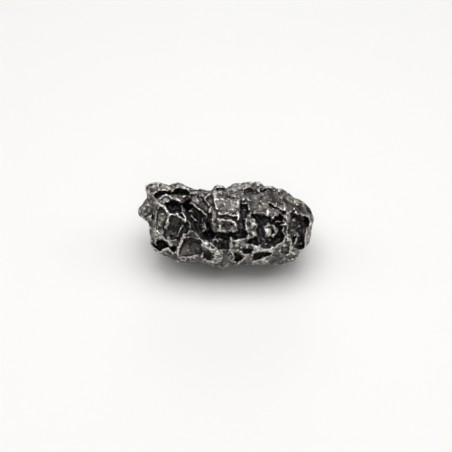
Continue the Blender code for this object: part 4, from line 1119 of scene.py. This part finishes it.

# Each of them stretched smoothly to the share of its look; sunk, from the blocked rays, is the share of black
# rust and painted shade
for name, source, (low, high), (start, end) in (
    ("fine_wear", "fine_crest", FINE_WORN, WHOLE),
    ("broad_wear", "broad_crest", BROAD_WORN, WHOLE),
    ("patchy_wear", "mottle", MOTTLE_SPAN, MOTTLE_WEAR),
    ("sunk", "shelter", SHELTERED, WHOLE),
    ("satin", "skin", SKIN_SPAN, WHOLE),
    ("roughness", "polish", POLISH_SPAN, ROUGHNESS),
    ("metallic", "sunk", WHOLE, METALLIC),
):
    limits = {
        "Value": signals[source], "From Min": low, "From Max": high, "To Min": start, "To Max": end
    }
    node = add_node(tree, "ShaderNodeMapRange", limits, interpolation_type="SMOOTHSTEP")
    signals[name] = node.outputs["Result"]

# Wear is on fine and on broad crests, and patchy
crests = add_node(tree, "ShaderNodeMath", {0: signals["fine_wear"], 1: signals["broad_wear"]}, operation="ADD")
patchy = {0: crests.outputs["Value"], 1: signals["patchy_wear"]}
patchy = add_node(tree, "ShaderNodeMath", patchy, operation="MULTIPLY").outputs["Value"]
worn = add_node(tree, "ShaderNodeClamp", {"Value": patchy}).outputs["Result"]

# The colours lie over each other: satin on dark skin, black rust with painted shade in the hollows, then worn
# metal
colour = linear(DARK_SKIN)
for share, over in ((signals["satin"], SATIN_SKIN), (signals["sunk"], BLACK_RUST_AND_SHADE), (worn, WORN_METAL)):
    layer = {0: share, 6: colour, 7: linear(over)}
    colour = add_node(tree, "ShaderNodeMix", layer, data_type="RGBA").outputs[2]

relief = {"Height": signals["grit"], "Strength": GRIT_STRENGTH, "Distance": GRIT_HEIGHT * MM}
bumps = add_node(tree, "ShaderNodeBump", relief).outputs["Normal"]
for name, value in (
    ("Base Color", colour),
    ("Metallic", signals["metallic"]),
    ("Roughness", signals["roughness"]),
    ("Normal", bumps),
):
    tree.links.new(value, shader.inputs[name])

stone.data.materials.clear()
stone.data.materials.append(iron)
stone.name = "meteorite_surface"
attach(stone, "root")
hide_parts("meteorite")
print("nodes in the iron:", len(tree.nodes))


# %% [markdown]
# ## Table, light and camera
#
# The stone lies on a plain pale surface. One large soft box hangs straight above it, so
# the shadow stays close under the stone. Four weaker panels round the stone give the metal
# something to reflect. The camera stands at the eye point.


# %% Table
# Matt board scatters light evenly, so the eye sees only the stone's shadow on it
TABLE_SIZE = 1.2
BOARD_COLOUR = "#efeeec"
BOARD_ROUGHNESS = 0.9

bpy.ops.mesh.primitive_plane_add(size=TABLE_SIZE)
table = bpy.context.object
table.name = "table"
paper = bpy.data.materials.new("matt_white_board")
paper.use_nodes = True
board = paper.node_tree.nodes["Principled BSDF"]
board.inputs["Base Color"].default_value = linear(BOARD_COLOUR)
board.inputs["Roughness"].default_value = BOARD_ROUGHNESS
table.data.materials.append(paper)
table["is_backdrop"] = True
print("the table is", TABLE_SIZE, "m a side")


# %% Light
# Name, place from the middle of the stone in metres, side in metres, and watts
LAMPS = [
    ("overhead_soft_box", (0.0, 0.0, 0.40), 0.40, 1.5),
    ("back_panel", (0.0, 0.42, 0.14), 0.30, 0.5),
    ("left_panel", (-0.30, 0.0, 0.30), 0.25, 0.27),
    ("right_panel", (0.30, 0.0, 0.30), 0.25, 0.33),
    ("front_panel", (0.0, -0.30, 0.30), 0.25, 0.35),
]

WORLD_STRENGTH = 0.04

world = bpy.data.worlds.new("white_room")
world.use_nodes = True
world.node_tree.nodes["Background"].inputs["Color"].default_value = linear("#ffffff")
world.node_tree.nodes["Background"].inputs["Strength"].default_value = WORLD_STRENGTH
bpy.context.scene.world = world

aim = Vector((MIDDLE + move) * MM)
for name, place_of_lamp, size, watts in LAMPS:
    lamp = bpy.data.objects.new(name, bpy.data.lights.new(name, "AREA"))
    lamp.data.size = size
    lamp.data.energy = watts
    lamp.location = aim + Vector(place_of_lamp)
    lamp.rotation_euler = Vector(place_of_lamp).to_track_quat("Z", "Y").to_euler()
    bpy.context.scene.collection.objects.link(lamp)
print("lamps:", len(LAMPS))


# %% Camera
SENSOR_WIDTH = 36.0
LENS = 116.2

camera = bpy.data.objects.new("camera", bpy.data.cameras.new("camera"))
camera.data.sensor_width = SENSOR_WIDTH
camera.data.lens = LENS
camera.data.clip_start = 0.01
camera.location = aim + Vector(OUT) * EYE_DISTANCE * MM
camera.rotation_euler = Vector(OUT).to_track_quat("Z", "Y").to_euler()
bpy.context.scene.collection.objects.link(camera)
bpy.context.scene.camera = camera
bpy.context.scene.view_settings.view_transform = "Standard"
print("the lens is", LENS, "mm")


# %% [markdown]
# ## The finished size


# %% Finish
bpy.context.view_layer.update()
low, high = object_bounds()
print("the finished stone measures, in mm:", [round(side / MM, 1) for side in high - low])
